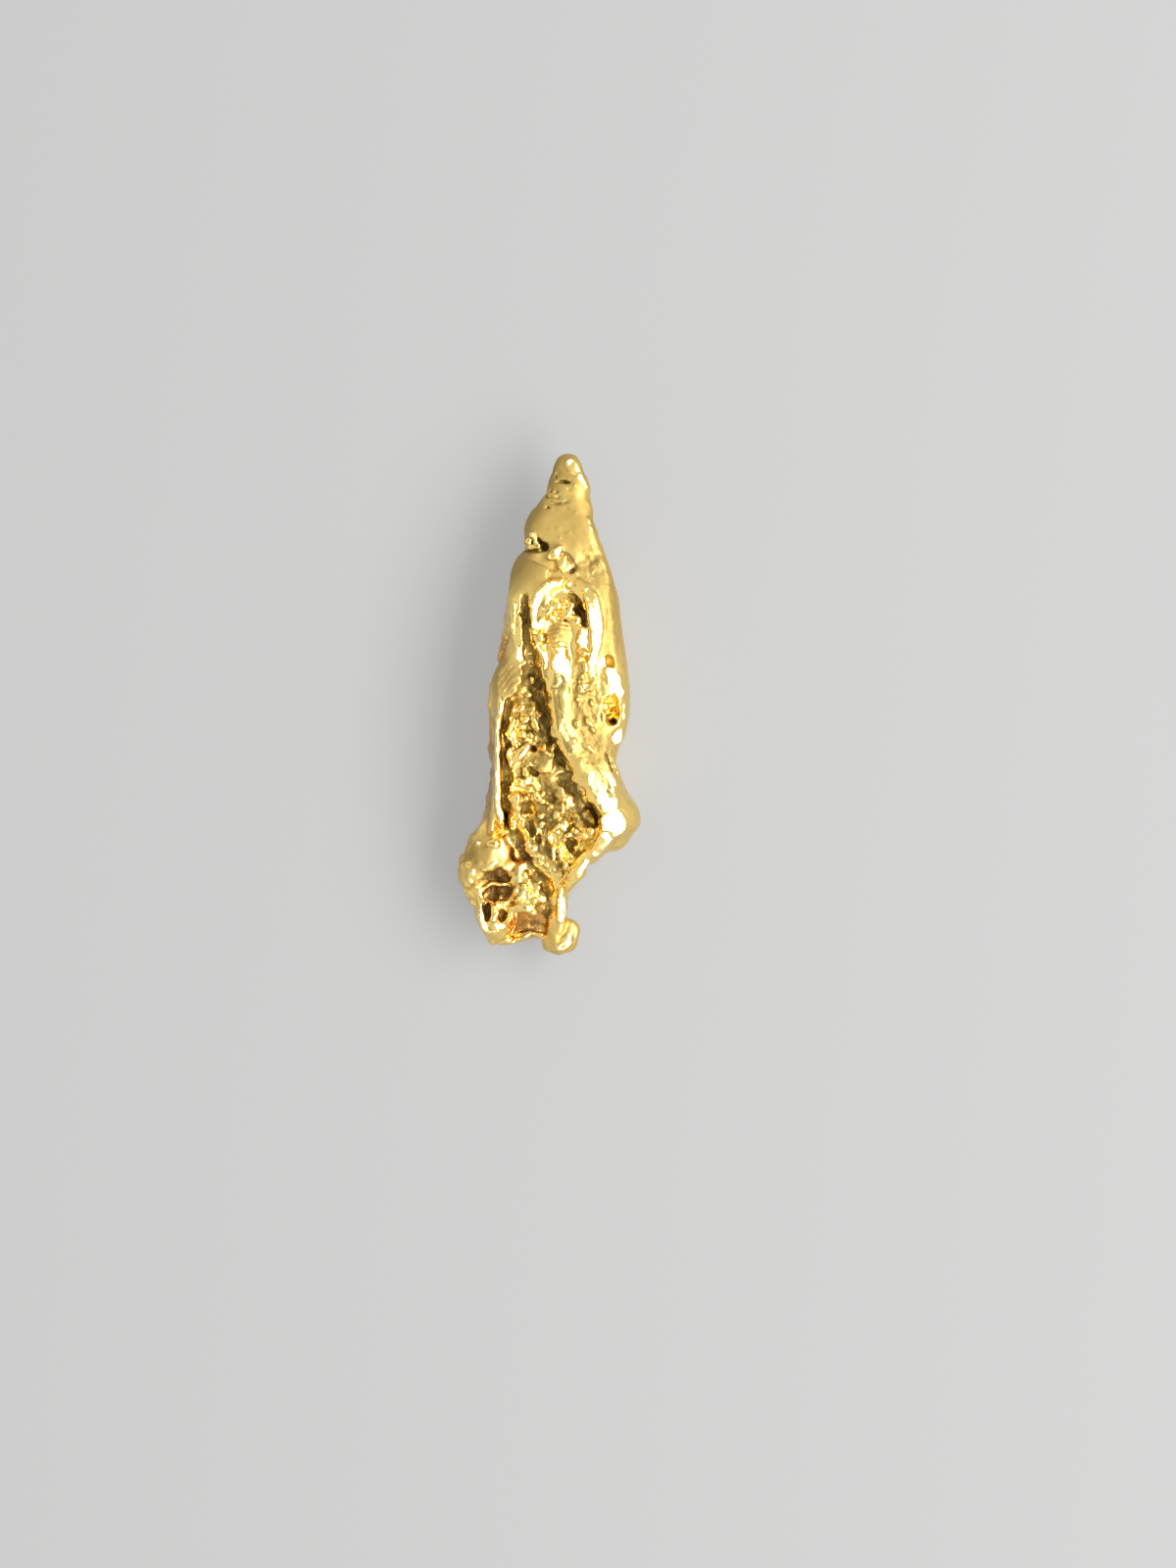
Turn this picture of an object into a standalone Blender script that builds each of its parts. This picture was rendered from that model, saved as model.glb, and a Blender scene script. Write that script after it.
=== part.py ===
"""A native gold nugget, 11.4 mm long, one solid piece of metal.

It lies on its worn flat underside. The tip points along +Y, the side that is seen faces +Z, and the
origin is in the middle of its footprint, on the surface it lies on. Lengths are written in millimetres
and turned into metres by MM. The metal is built up from rounded lumps and tubes, hollowed, sprinkled with
grains, given one even skin, and worn flat below.
"""

import math

import bmesh
import bpy
from mathutils import Matrix, Vector

MM = 0.001

# The nugget's length and width, which the drawing below follows
LENGTH = 11.4
WIDTH = 4.1

# How finely the lumps are fused, and how finely the finished skin is divided
FUSE_VOXEL = 0.12
SKIN_VOXEL = 0.162
SMOOTH_STEPS = 1

# What softening the skin takes off each side, and a swelling of the skin gives back
SOFTENING_LOSS = 0.035

# How much of the underside is worn off flat, measured up from the drawing's zero
WORN_DEPTH = 0.16

# From the drawing below to the middle of the footprint on the surface
DRAWING_TO_MIDDLE = Vector((0.02, 0.02, -WORN_DEPTH))

# How much lower than wide the body's section is, and how square its corners are (2 would be an ellipse)
BODY_TALL = 0.93
BODY_SQUARENESS = 2.5

GOLD = (0.83, 0.53, 0.16, 1.0)
GOLD_ROUGHNESS = 0.3


# Helpers

def clear_scene():
    for thing in list(bpy.data.objects):
        bpy.data.objects.remove(thing, do_unlink=True)


def new_collection(name):
    collection = bpy.data.collections.new(name)
    bpy.context.scene.collection.children.link(collection)
    return collection


def lump(centre, radii, turn=0.0):
    """A rounded lump: a sphere stretched to three radii and turned about the upright axis by degrees."""
    place = Matrix.Translation(Vector(centre) * MM)
    turned = Matrix.Rotation(math.radians(turn), 4, "Z")
    stretched = Matrix.Diagonal(Vector(radii) * MM).to_4x4()
    shape = bmesh.new()
    placed = place @ turned @ stretched
    bmesh.ops.create_uvsphere(shape, u_segments=24, v_segments=14, radius=1.0, matrix=placed)
    mesh = bpy.data.meshes.new("lump")
    shape.to_mesh(mesh)
    shape.free()
    return mesh


def tube(route, tall=1.0, profile=None):
    """A tube through (x, y, z, radius) points, its section tall times as high as wide, its ends closed."""
    curve = bpy.data.curves.new("tube", "CURVE")
    curve.dimensions = "3D"
    curve.resolution_u = 4
    curve.use_fill_caps = True
    if profile is None:
        curve.bevel_depth = MM
        curve.bevel_resolution = 3
    else:
        curve.bevel_mode = "OBJECT"
        curve.bevel_object = profile
    spline = curve.splines.new("BEZIER")
    spline.bezier_points.add(len(route) - 1)
    for knot, (x, y, z, radius) in zip(spline.bezier_points, route):
        knot.co = Vector((x, y, z / tall)) * MM
        knot.radius = radius
        knot.handle_left_type = "AUTO"
        knot.handle_right_type = "AUTO"
    thing = bpy.data.objects.new("tube", curve)
    thing.scale.z = tall
    bpy.context.scene.collection.objects.link(thing)
    mesh = solid_mesh(thing)
    bpy.data.objects.remove(thing, do_unlink=True)
    bpy.data.curves.remove(curve)
    return mesh


def solid_mesh(thing):
    """The closed mesh of a curve object, in world space, its caps welded on and its faces pointing out."""
    bpy.context.view_layer.update()
    seen = thing.evaluated_get(bpy.context.evaluated_depsgraph_get())
    mesh = bpy.data.meshes.new_from_object(seen)
    mesh.transform(thing.matrix_world)
    shape = bmesh.new()
    shape.from_mesh(mesh)
    bmesh.ops.remove_doubles(shape, verts=shape.verts, dist=0.001 * MM)
    bmesh.ops.recalc_face_normals(shape, faces=shape.faces)
    shape.to_mesh(mesh)
    shape.free()
    return mesh


def round_ended(route, tall=1.0, profile=None):
    """A tube with a lump at each end, so that it ends round."""
    ends = [lump((x, y, z), (radius, radius, radius * tall)) for x, y, z, radius in (route[0], route[-1])]
    return [tube(route, tall, profile)] + ends


def gather(name, meshes, collection, voxel):
    """One object made of many overlapping shapes, which its Remesh modifier fuses into one body."""
    shape = bmesh.new()
    for mesh in meshes:
        shape.from_mesh(mesh)
        bpy.data.meshes.remove(mesh)
    whole = bpy.data.meshes.new(name)
    shape.to_mesh(whole)
    shape.free()
    thing = bpy.data.objects.new(name, whole)
    collection.objects.link(thing)
    fuse = thing.modifiers.new("Fuse", "REMESH")
    fuse.mode = "VOXEL"
    fuse.voxel_size = voxel * MM
    fuse.use_smooth_shade = True
    return thing


def cut(thing, name, cutter):
    modifier = thing.modifiers.new(name, "BOOLEAN")
    modifier.operation = "DIFFERENCE"
    modifier.solver = "EXACT"
    modifier.object = cutter
    as_guide(cutter)


def as_guide(thing):
    thing.hide_render = True
    thing.display_type = "WIRE"


# The metal before it is hollowed

def squarish_profile(collection):
    """The body's section, a superellipse of radius 1 mm, which each point of the spine scales."""
    corners = 28
    curve = bpy.data.curves.new("body_section", "CURVE")
    curve.dimensions = "2D"
    spline = curve.splines.new("POLY")
    spline.points.add(corners - 1)
    spline.use_cyclic_u = True
    for index, point in enumerate(spline.points):
        angle = 2 * math.pi * index / corners
        across, up = math.cos(angle), math.sin(angle)
        reach = (abs(across) ** BODY_SQUARENESS + abs(up) ** BODY_SQUARENESS) ** (-1 / BODY_SQUARENESS)
        point.co = (across * reach * MM, up * reach * MM, 0.0, 1.0)
    thing = bpy.data.objects.new("body_section", curve)
    collection.objects.link(thing)
    as_guide(thing)
    return thing


def body(profile):
    """The long trunk from the head to where the metal narrows into the stalk."""
    spine = [
        (0.28, 4.35, 1.42, 0.60), (0.22, 4.10, 1.42, 0.76), (0.27, 3.75, 1.42, 0.84),
        (0.36, 3.45, 1.42, 0.87), (0.28, 2.95, 1.40, 1.12), (0.27, 2.40, 1.38, 1.25),
        (0.29, 1.70, 1.36, 1.30), (0.28, 0.90, 1.34, 1.36), (0.22, 0.20, 1.32, 1.36),
        (0.16, -0.60, 1.30, 1.32), (0.14, -1.20, 1.28, 1.30), (0.26, -1.80, 1.27, 1.40),
        (0.30, -2.30, 1.25, 1.36), (0.24, -2.85, 1.20, 1.05), (0.18, -3.30, 1.16, 0.72),
    ]
    return round_ended(spine, BODY_TALL, profile)


def tip_and_head(profile):
    """The blunt cone at the top, and the two smooth lobes that bulge to the left below it."""
    cone = [
        (0.38, 5.36, 1.42, 0.34), (0.41, 5.05, 1.42, 0.46), (0.37, 4.70, 1.42, 0.48),
        (0.36, 4.40, 1.42, 0.58),
    ]
    head_lobe = lump((-0.08, 4.02, 1.50), (0.50, 0.60, 0.62), -20)
    second_lobe = lump((-0.30, 2.85, 1.55), (0.62, 0.80, 0.76), -12)
    return round_ended(cone, 0.9, profile) + [head_lobe, second_lobe]


def right_flank():
    """The swelling behind the ear, and the ear's own thin outer wall."""
    swelling = lump((1.05, 0.70, 1.42), (0.66, 1.70, 0.98), 3)
    wall = [
        (1.40, 1.70, 1.55, 0.12), (1.56, 1.10, 1.70, 0.14), (1.62, 0.40, 1.75, 0.15),
        (1.62, -0.20, 1.75, 0.15), (1.54, -0.62, 1.70, 0.15), (1.44, -0.85, 1.60, 0.12),
    ]
    return [swelling] + round_ended(wall, 2.2)


def corner():
    """The smooth knob that sticks out to the right above the stalk."""
    return [
        lump((1.15, -2.25, 1.45), (0.80, 0.62, 0.85), -35),
        lump((1.50, -2.55, 1.55), (0.54, 0.50, 0.64), -20),
        lump((1.38, -2.92, 1.42), (0.46, 0.40, 0.50), 30),
        lump((0.98, -3.28, 1.38), (0.34, 0.26, 0.40), 38),
    ]


def stalk_and_foot():
    """The narrow neck at the bottom right, and the two lumps that it ends in."""
    stalk = [
        (0.14, -3.30, 1.22, 0.52), (0.12, -3.90, 1.15, 0.34), (0.10, -4.50, 1.05, 0.25),
        (0.10, -5.25, 0.98, 0.24),
    ]
    foot = [
        lump((0.06, -5.42, 0.95), (0.30, 0.29, 0.34), 20),
        lump((0.36, -5.22, 0.98), (0.22, 0.36, 0.34), -12),
    ]
    return round_ended(stalk, 1.5) + foot


def cup_lobe():
    """The lobe at the lower left that will be hollowed to a cup, and the web that ties it to the stalk."""
    return [
        lump((-1.42, -3.45, 1.30), (0.54, 0.68, 0.64), -24),
        lump((-1.66, -3.72, 1.30), (0.41, 0.46, 0.54)),
        lump((-1.34, -4.35, 1.12), (0.46, 0.84, 0.62), 10),
        lump((-1.26, -4.98, 1.05), (0.35, 0.42, 0.48), 12),
        lump((-0.85, -3.90, 1.10), (0.66, 0.62, 0.58)),
        lump((-0.56, -4.25, 1.25), (0.40, 0.38, 0.52)),
        lump((-0.55, -4.75, 0.92), (0.66, 0.30, 0.26), -8),
    ]


def left_flange():
    """The lower, outer edge on the left, which runs down into the cup lobe, and the sheet above it."""
    edge = [
        (-1.22, 0.45, 1.30, 0.16), (-1.24, -0.10, 1.25, 0.15), (-1.24, -0.80, 1.24, 0.13),
        (-1.28, -1.60, 1.24, 0.14), (-1.34, -2.10, 1.25, 0.15), (-1.44, -2.60, 1.30, 0.16),
        (-1.62, -3.00, 1.35, 0.18),
    ]
    sheet = [
        (-1.12, 0.20, 1.50, 0.14), (-1.18, -0.80, 1.50, 0.16), (-1.21, -1.60, 1.50, 0.16),
        (-1.22, -2.30, 1.45, 0.18), (-1.28, -2.90, 1.35, 0.24),
    ]
    return round_ended(edge, 2.0) + round_ended(sheet, 4.0)


def left_facet():
    """The flat-topped shoulder on the left, with the small knobs above it."""
    shoulder = lump((-0.90, 0.62, 1.72), (0.42, 0.52, 0.54), -24)
    knobs = [lump((-1.00, 1.50, 1.6), (0.17, 0.16, 0.3)), lump((-1.04, 1.20, 1.6), (0.16, 0.2, 0.3))]
    return [shoulder] + knobs


# The hollows

def recess():
    """The long hollow in the front, from below the mouth to the stalk, with a furrow along each side."""
    scoops = [
        lump((-0.50, 0.15, 2.72), (0.44, 0.60, 0.62), -12),
        lump((-0.48, -0.75, 2.74), (0.58, 0.85, 0.72), 14),
        lump((-0.22, -1.75, 2.74), (0.76, 0.90, 0.84), 24),
        lump((0.12, -2.60, 2.60), (0.84, 0.80, 0.86), 20),
        lump((0.05, -3.35, 2.30), (0.50, 0.70, 0.62), 10),
    ]
    right_furrow = [
        (-0.22, 0.35, 2.12, 0.13), (-0.02, -0.25, 2.10, 0.16), (0.08, -0.85, 2.06, 0.14),
        (0.24, -1.35, 1.98, 0.15), (0.45, -1.85, 1.90, 0.16), (0.62, -2.25, 1.82, 0.16),
    ]
    left_furrow = [
        (-0.90, 0.10, 2.15, 0.10), (-0.95, -0.70, 2.05, 0.11), (-0.95, -1.90, 1.95, 0.12),
        (-0.88, -2.60, 1.85, 0.13), (-0.68, -3.15, 1.70, 0.14), (-0.40, -3.65, 1.62, 0.13),
        (-0.20, -4.10, 1.52, 0.10),
    ]
    furrow_end = lump((0.84, -2.48, 2.10), (0.20, 0.32, 0.46), 32)
    return scoops + round_ended(right_furrow, 1.6) + round_ended(left_furrow, 1.8) + [furrow_end]


def mouth():
    """The hooded hollow in the middle of the upper half, and the groove to the left of it."""
    hollow = [
        lump((0.14, 1.98, 2.70), (0.50, 0.66, 0.80), 8),
        lump((0.60, 2.12, 2.60), (0.16, 0.44, 0.72), 24),
    ]
    groove = [
        (-0.58, 2.40, 2.36, 0.17), (-0.58, 1.90, 2.32, 0.19), (-0.54, 1.40, 2.34, 0.20),
        (-0.48, 0.95, 2.38, 0.21), (-0.42, 0.50, 2.44, 0.23),
    ]
    return hollow + round_ended(groove, 2.4)


def head_notch_and_pits():
    """The notch under the head lobe, the dimple round the middle grain, and the slit near the tip."""
    return [
        lump((-0.22, 3.62, 2.06), (0.18, 0.28, 0.60), 34),
        lump((-0.66, 3.50, 1.60), (0.28, 0.16, 0.55), 18),
        lump((0.36, 3.24, 2.36), (0.34, 0.38, 0.46), -20),
        lump((0.28, 5.06, 1.96), (0.22, 0.10, 0.26)),
        lump((-0.20, 4.72, 1.60), (0.16, 0.12, 0.40), 24),
    ]


def tip_facet():
    """The flat on the right of the tip, cut by a block whose face leans to the right."""
    block = 1.0
    facing = Vector((0.86, 0.22, 0.52))
    on_face = Vector((0.66, 5.22, 1.52))
    shape = bmesh.new()
    turned = facing.to_track_quat("Z", "Y").to_matrix().to_4x4()
    place = Matrix.Translation((on_face + facing.normalized() * block / 2) * MM)
    bmesh.ops.create_cube(shape, size=block * MM, matrix=place @ turned)
    mesh = bpy.data.meshes.new("tip_facet")
    shape.to_mesh(mesh)
    shape.free()
    return [mesh]


def ear_pocket():
    """The deep pocket behind the ear's wall, and the small hollow above it."""
    return [
        lump((1.33, -0.08, 2.10), (0.23, 0.42, 0.72), 4),
        lump((1.32, 1.00, 2.22), (0.17, 0.22, 0.36)),
    ]


def cup_hollow():
    """The hollow in the cup lobe, and the arch through the web below it."""
    return [
        lump((-1.22, -4.14, 1.88), (0.38, 0.38, 0.72), 10),
        lump((-1.26, -4.56, 1.80), (0.23, 0.34, 0.56)),
        lump((-0.70, -5.36, 1.00), (0.28, 0.14, 0.60), 14),
    ]


# What stands up again: ridges, rims, and the grains in the hollows

def ridges():
    """The thin left rim, the crest right of the recess, the lower right edge and the strip by the mouth."""
    left_rim = [
        (-1.02, 0.30, 1.95, 0.13), (-1.10, -0.40, 2.00, 0.13), (-1.13, -1.20, 2.02, 0.13),
        (-1.10, -1.95, 2.00, 0.13), (-1.02, -2.60, 1.85, 0.13), (-0.88, -3.05, 1.60, 0.14),
    ]
    right_crest = [
        (0.20, 0.65, 2.42, 0.18), (0.28, 0.10, 2.44, 0.18), (0.36, -0.60, 2.42, 0.18),
        (0.55, -1.15, 2.38, 0.18), (0.80, -1.65, 2.34, 0.19), (1.02, -2.00, 2.24, 0.22),
    ]
    lower_edge = [
        (1.50, -2.75, 1.95, 0.24), (1.18, -3.05, 1.95, 0.21), (0.85, -3.45, 1.88, 0.19),
        (0.52, -3.85, 1.75, 0.18), (0.27, -4.15, 1.55, 0.16), (0.19, -4.60, 1.36, 0.14),
        (0.19, -5.05, 1.20, 0.14),
    ]
    left_strip = [
        (-0.82, 2.40, 1.98, 0.13), (-0.86, 1.95, 2.12, 0.13), (-0.82, 1.50, 2.20, 0.13),
        (-0.74, 1.05, 2.22, 0.12),
    ]
    front = round_ended(right_crest, 1.4) + round_ended(lower_edge, 1.5) + round_ended(left_strip, 1.7)
    return front + round_ended(left_rim, 4.0)


def hood():
    """The arched rim of the mouth and the broad smooth band down its right side."""
    arch = [
        (-0.33, 1.70, 2.16, 0.12), (-0.33, 2.08, 2.24, 0.13), (-0.21, 2.44, 2.26, 0.15),
        (0.02, 2.66, 2.26, 0.16), (0.30, 2.74, 2.26, 0.16),
    ]
    band = [
        (0.48, 2.75, 2.16, 0.15), (0.74, 2.50, 2.28, 0.19), (0.97, 2.15, 2.34, 0.21),
        (1.07, 1.75, 2.36, 0.21), (1.04, 1.35, 2.36, 0.19), (0.96, 0.95, 2.34, 0.16),
        (0.92, 0.50, 2.30, 0.14),
    ]
    cushion = lump((0.12, 1.52, 1.98), (0.44, 0.40, 0.40))
    flat = lump((0.20, 0.90, 2.30), (0.34, 0.42, 0.36))
    return round_ended(arch, 1.2) + round_ended(band, 1.1) + [cushion, flat]


def grains():
    """Rounded grains big enough to see from a step away: place, radii, turn."""
    in_mouth = [
        (-0.08, 2.10, 2.10, 0.16, 0.20, -38), (0.26, 2.12, 2.06, 0.17, 0.14, 0),
        (0.56, 1.82, 2.18, 0.14, 0.14, 0), (-0.24, 1.50, 2.18, 0.13, 0.13, 0),
        (0.76, 1.48, 2.46, 0.16, 0.20, -5), (0.72, 1.16, 2.48, 0.15, 0.14, -20),
        (0.20, 0.86, 2.52, 0.22, 0.24, 0),
    ]
    in_recess = [
        (-0.68, -0.14, 2.16, 0.14, 0.14, 0), (-0.84, -0.58, 2.10, 0.12, 0.28, -8),
        (-0.40, -0.40, 2.04, 0.12, 0.20, 24), (-0.66, -1.05, 2.04, 0.19, 0.16, 30),
        (-0.10, -1.02, 2.00, 0.14, 0.16, 0), (-0.18, -1.30, 1.92, 0.28, 0.22, -20),
        (-0.66, -1.62, 1.98, 0.17, 0.20, 0), (-0.46, -1.90, 1.92, 0.18, 0.16, 0),
        (-0.76, -2.14, 1.94, 0.13, 0.16, 0), (-0.28, -2.14, 1.86, 0.17, 0.15, 20),
        (0.27, -2.30, 1.80, 0.13, 0.20, 0), (-0.82, -2.66, 1.84, 0.13, 0.24, 8),
        (-0.20, -2.62, 1.76, 0.14, 0.18, 0), (0.26, -2.72, 1.76, 0.20, 0.17, 0),
        (0.04, -3.16, 1.72, 0.13, 0.30, 4), (0.66, -2.90, 1.80, 0.20, 0.15, 0),
        (-0.45, -3.22, 1.68, 0.19, 0.22, 20), (0.86, -2.54, 1.72, 0.15, 0.22, 32),
        (0.24, -3.42, 1.70, 0.13, 0.22, 6), (-0.44, 0.55, 2.20, 0.15, 0.15, 0),
    ]
    on_cup = [
        (-1.34, -3.12, 1.80, 0.18, 0.13, -14), (-1.80, -3.90, 1.52, 0.18, 0.18, 30),
        (-1.84, -4.28, 1.20, 0.15, 0.13, 0), (-1.50, -3.62, 1.70, 0.20, 0.13, 40),
        (-0.56, -4.14, 1.62, 0.14, 0.13, 0), (-0.34, -4.42, 1.56, 0.14, 0.13, 0),
        (-0.62, -4.52, 1.52, 0.26, 0.12, -6),
    ]
    on_flank = [
        (0.72, 0.55, 2.40, 0.20, 0.30, 6), (0.98, 0.42, 2.28, 0.15, 0.30, 4),
        (0.76, -0.20, 2.36, 0.20, 0.34, 8), (0.98, -0.66, 2.16, 0.18, 0.22, 30),
        (0.78, -0.92, 2.28, 0.22, 0.24, 34), (1.18, -1.25, 1.98, 0.15, 0.34, 32),
        (0.98, -1.40, 2.14, 0.20, 0.26, 34), (1.46, -1.45, 1.78, 0.14, 0.40, 32),
        (1.32, -1.90, 1.94, 0.20, 0.26, 36), (1.66, -2.02, 1.70, 0.16, 0.28, 36),
        (1.18, 1.30, 2.16, 0.20, 0.34, 4), (1.34, 2.10, 1.92, 0.16, 0.36, 6),
    ]
    on_right = [
        (1.42, 0.56, 1.96, 0.18, 0.32, 12), (1.46, -0.74, 1.84, 0.17, 0.18, -30),
        (0.08, 3.46, 2.22, 0.20, 0.15, 35), (0.26, 3.20, 1.98, 0.17, 0.22, -20),
        (-0.44, 3.74, 1.72, 0.13, 0.15, 0), (0.55, -3.86, 1.84, 0.22, 0.16, 35),
    ]
    placed = in_mouth + in_recess + on_cup + on_flank + on_right
    return [
        lump((x, y, z), (wide, long, 0.5 * (wide + long)), turn) for x, y, z, wide, long, turn in placed
    ]


def cup_rims():
    """The cup's raised edge on both sides, and the lip of the web below it."""
    rim = [
        (-1.58, -4.35, 1.46, 0.12), (-1.56, -4.65, 1.44, 0.12), (-1.48, -4.93, 1.40, 0.13),
        (-1.32, -5.06, 1.34, 0.13), (-1.16, -5.02, 1.28, 0.12),
    ]
    inner = [(-0.90, -4.62, 1.42, 0.12), (-0.94, -4.85, 1.38, 0.12), (-1.05, -5.00, 1.30, 0.12)]
    lip = [
        (-1.15, -5.28, 0.96, 0.17), (-0.90, -5.24, 0.96, 0.13), (-0.66, -5.08, 0.96, 0.13),
        (-0.42, -5.06, 0.96, 0.13), (-0.18, -5.16, 0.95, 0.14),
    ]
    return round_ended(rim, 1.3) + round_ended(inner) + round_ended(lip)


def underside():
    """Low swellings on the back, which the worn flat cuts through."""
    return [
        lump((0.10, 1.60, 0.62), (0.95, 1.10, 0.66), 12),
        lump((0.35, -0.55, 0.62), (1.00, 1.30, 0.68), -18),
        lump((0.20, -2.10, 0.66), (0.90, 0.70, 0.62), 30),
        lump((-0.55, 0.40, 0.80), (0.55, 0.80, 0.62), -10),
        lump((0.25, 3.20, 0.92), (0.60, 0.70, 0.52)),
        lump((1.25, -2.30, 0.95), (0.55, 0.50, 0.50)),
        lump((-1.40, -3.75, 0.95), (0.45, 0.60, 0.45)),
    ]


def wear_block(collection):
    """A block under the surface the nugget lies on: where it overlaps, the metal is worn away to a flat."""
    depth = 1.0
    shape = bmesh.new()
    place = Matrix.Translation(Vector((0, 0, -depth / 2)) * MM)
    size = Matrix.Diagonal(Vector((WIDTH * 2, LENGTH * 1.5, depth)) * MM).to_4x4()
    bmesh.ops.create_cube(shape, size=1.0, matrix=place @ size)
    mesh = bpy.data.meshes.new("wear_block")
    shape.to_mesh(mesh)
    shape.free()
    thing = bpy.data.objects.new("wear_block", mesh)
    collection.objects.link(thing)
    return thing


def gold():
    """Native gold, satin and a little reddish in its depths."""
    material = bpy.data.materials.new("native_gold")
    material.use_nodes = True
    shader = material.node_tree.nodes["Principled BSDF"]
    shader.inputs["Base Color"].default_value = GOLD
    shader.inputs["Metallic"].default_value = 1.0
    shader.inputs["Roughness"].default_value = GOLD_ROUGHNESS
    return material


def main():
    clear_scene()
    parts = new_collection("gold_nugget")
    guides = new_collection("guides")
    profile = squarish_profile(guides)

    metal = body(profile) + tip_and_head(profile) + right_flank() + corner() + stalk_and_foot()
    metal += cup_lobe() + left_flange() + left_facet() + underside()
    solid = gather("metal", metal, guides, FUSE_VOXEL)
    scoops = recess() + mouth() + head_notch_and_pits() + tip_facet() + ear_pocket() + cup_hollow()
    cut(solid, "Hollow out", gather("hollows", scoops, guides, FUSE_VOXEL))
    as_guide(solid)

    raised = ridges() + hood() + grains() + cup_rims()
    nugget = gather("nugget", [solid_mesh(solid)] + raised, parts, SKIN_VOXEL)
    soften = nugget.modifiers.new("Soften", "SMOOTH")
    soften.factor = 0.5
    soften.iterations = SMOOTH_STEPS
    swell = nugget.modifiers.new("Give back", "DISPLACE")
    swell.strength = SOFTENING_LOSS * MM
    swell.mid_level = 0.0
    cut(nugget, "Wear flat", wear_block(guides))
    nugget.location = DRAWING_TO_MIDDLE * MM
    nugget.data.materials.append(gold())


main()
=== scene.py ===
"""A native gold nugget on a plain pale floor, seen from above.

The nugget is one mesh that takes the place of the CAD solid and lies where it lies. Forms are written in
millimetres on the drawing that the solid follows, and set in the frame, in metres, when the mesh is made.
In the drawing x runs to the right, y to the tip and z up. Turns and leans are in degrees.
"""

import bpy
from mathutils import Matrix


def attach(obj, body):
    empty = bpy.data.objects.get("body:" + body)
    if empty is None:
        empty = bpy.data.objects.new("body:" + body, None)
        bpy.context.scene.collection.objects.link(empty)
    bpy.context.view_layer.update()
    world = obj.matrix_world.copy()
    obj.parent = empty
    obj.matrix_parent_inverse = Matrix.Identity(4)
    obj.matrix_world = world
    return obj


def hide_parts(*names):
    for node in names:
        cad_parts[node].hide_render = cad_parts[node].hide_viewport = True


bl_info = {
    "name": "Gold nugget",
    "version": (1, 0, 0),
    "blender": (4, 5, 0),
    "location": "View3D > Sidebar > Nugget",
    "description": "Makes a small native gold nugget, its floor, its lights and its camera",
    "category": "Add Mesh",
}

import math

import bpy
import numpy as np
from bpy.props import FloatProperty, FloatVectorProperty, IntProperty, PointerProperty
from bpy.types import Operator, Panel, PropertyGroup
from mathutils import Vector

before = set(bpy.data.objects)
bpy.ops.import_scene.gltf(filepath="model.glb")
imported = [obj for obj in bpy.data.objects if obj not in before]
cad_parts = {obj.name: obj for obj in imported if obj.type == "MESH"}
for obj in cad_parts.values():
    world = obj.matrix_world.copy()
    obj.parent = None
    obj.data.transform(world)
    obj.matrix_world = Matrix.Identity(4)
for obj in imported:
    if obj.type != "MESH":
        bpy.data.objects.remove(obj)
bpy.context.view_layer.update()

MM = 0.001

# From the drawing's zero to the frame's, in millimetres: the underside is worn off flat up to 0.16
WORN_DEPTH = 0.16
DRAWING_TO_FRAME = np.array([0.02, 0.02, -WORN_DEPTH])

# The block of space, in the drawing's millimetres, that holds the nugget
SPACE_LOW = np.array([-2.40, -6.00, -0.20])
SPACE_HIGH = np.array([2.40, 6.00, 2.95])

# A distance past all of that block from its middle, and the distance that empty space starts with
FAR = 9.0
EMPTY = 1.0

# How far beyond its blend a lump and a route are worked out
LUMP_MARGIN = 0.1
ROUTE_MARGIN = 0.06

# A trunk's stations are worked out this far apart, and rounded over this many such steps to each side
STATION_STEP = 0.01
STATION_ROUNDING = 24

# The noise of ragged walls: share, size, seed
RAGGED_NOISE = ((0.65, 0.24, 81), (0.35, 0.11, 82))

# The least slope and the least length squared that are divided by
LEAST_SLOPE = 1e-6
LEAST_RUN = 1e-9

# How far a flat reaches down, how ragged its edge is at most, and how long a flat of one point is
FLAT_DEPTH = 0.3
FLAT_RAGGED = 0.03
HAIR = 1e-4

# Noise that moves the skin about: size, seed, and the most that it moves the skin along x, y and z
PULLS = ((0.50, 60, (0.060, 0.060, 0.020)), (0.19, 70, (0.042, 0.042, 0.016)))

# How far from the skin the field is still moved about, and how far the relief reaches
PULLED_BAND = 0.22
RELIEF_BAND = 0.10


# The metal as a field of distances

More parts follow.
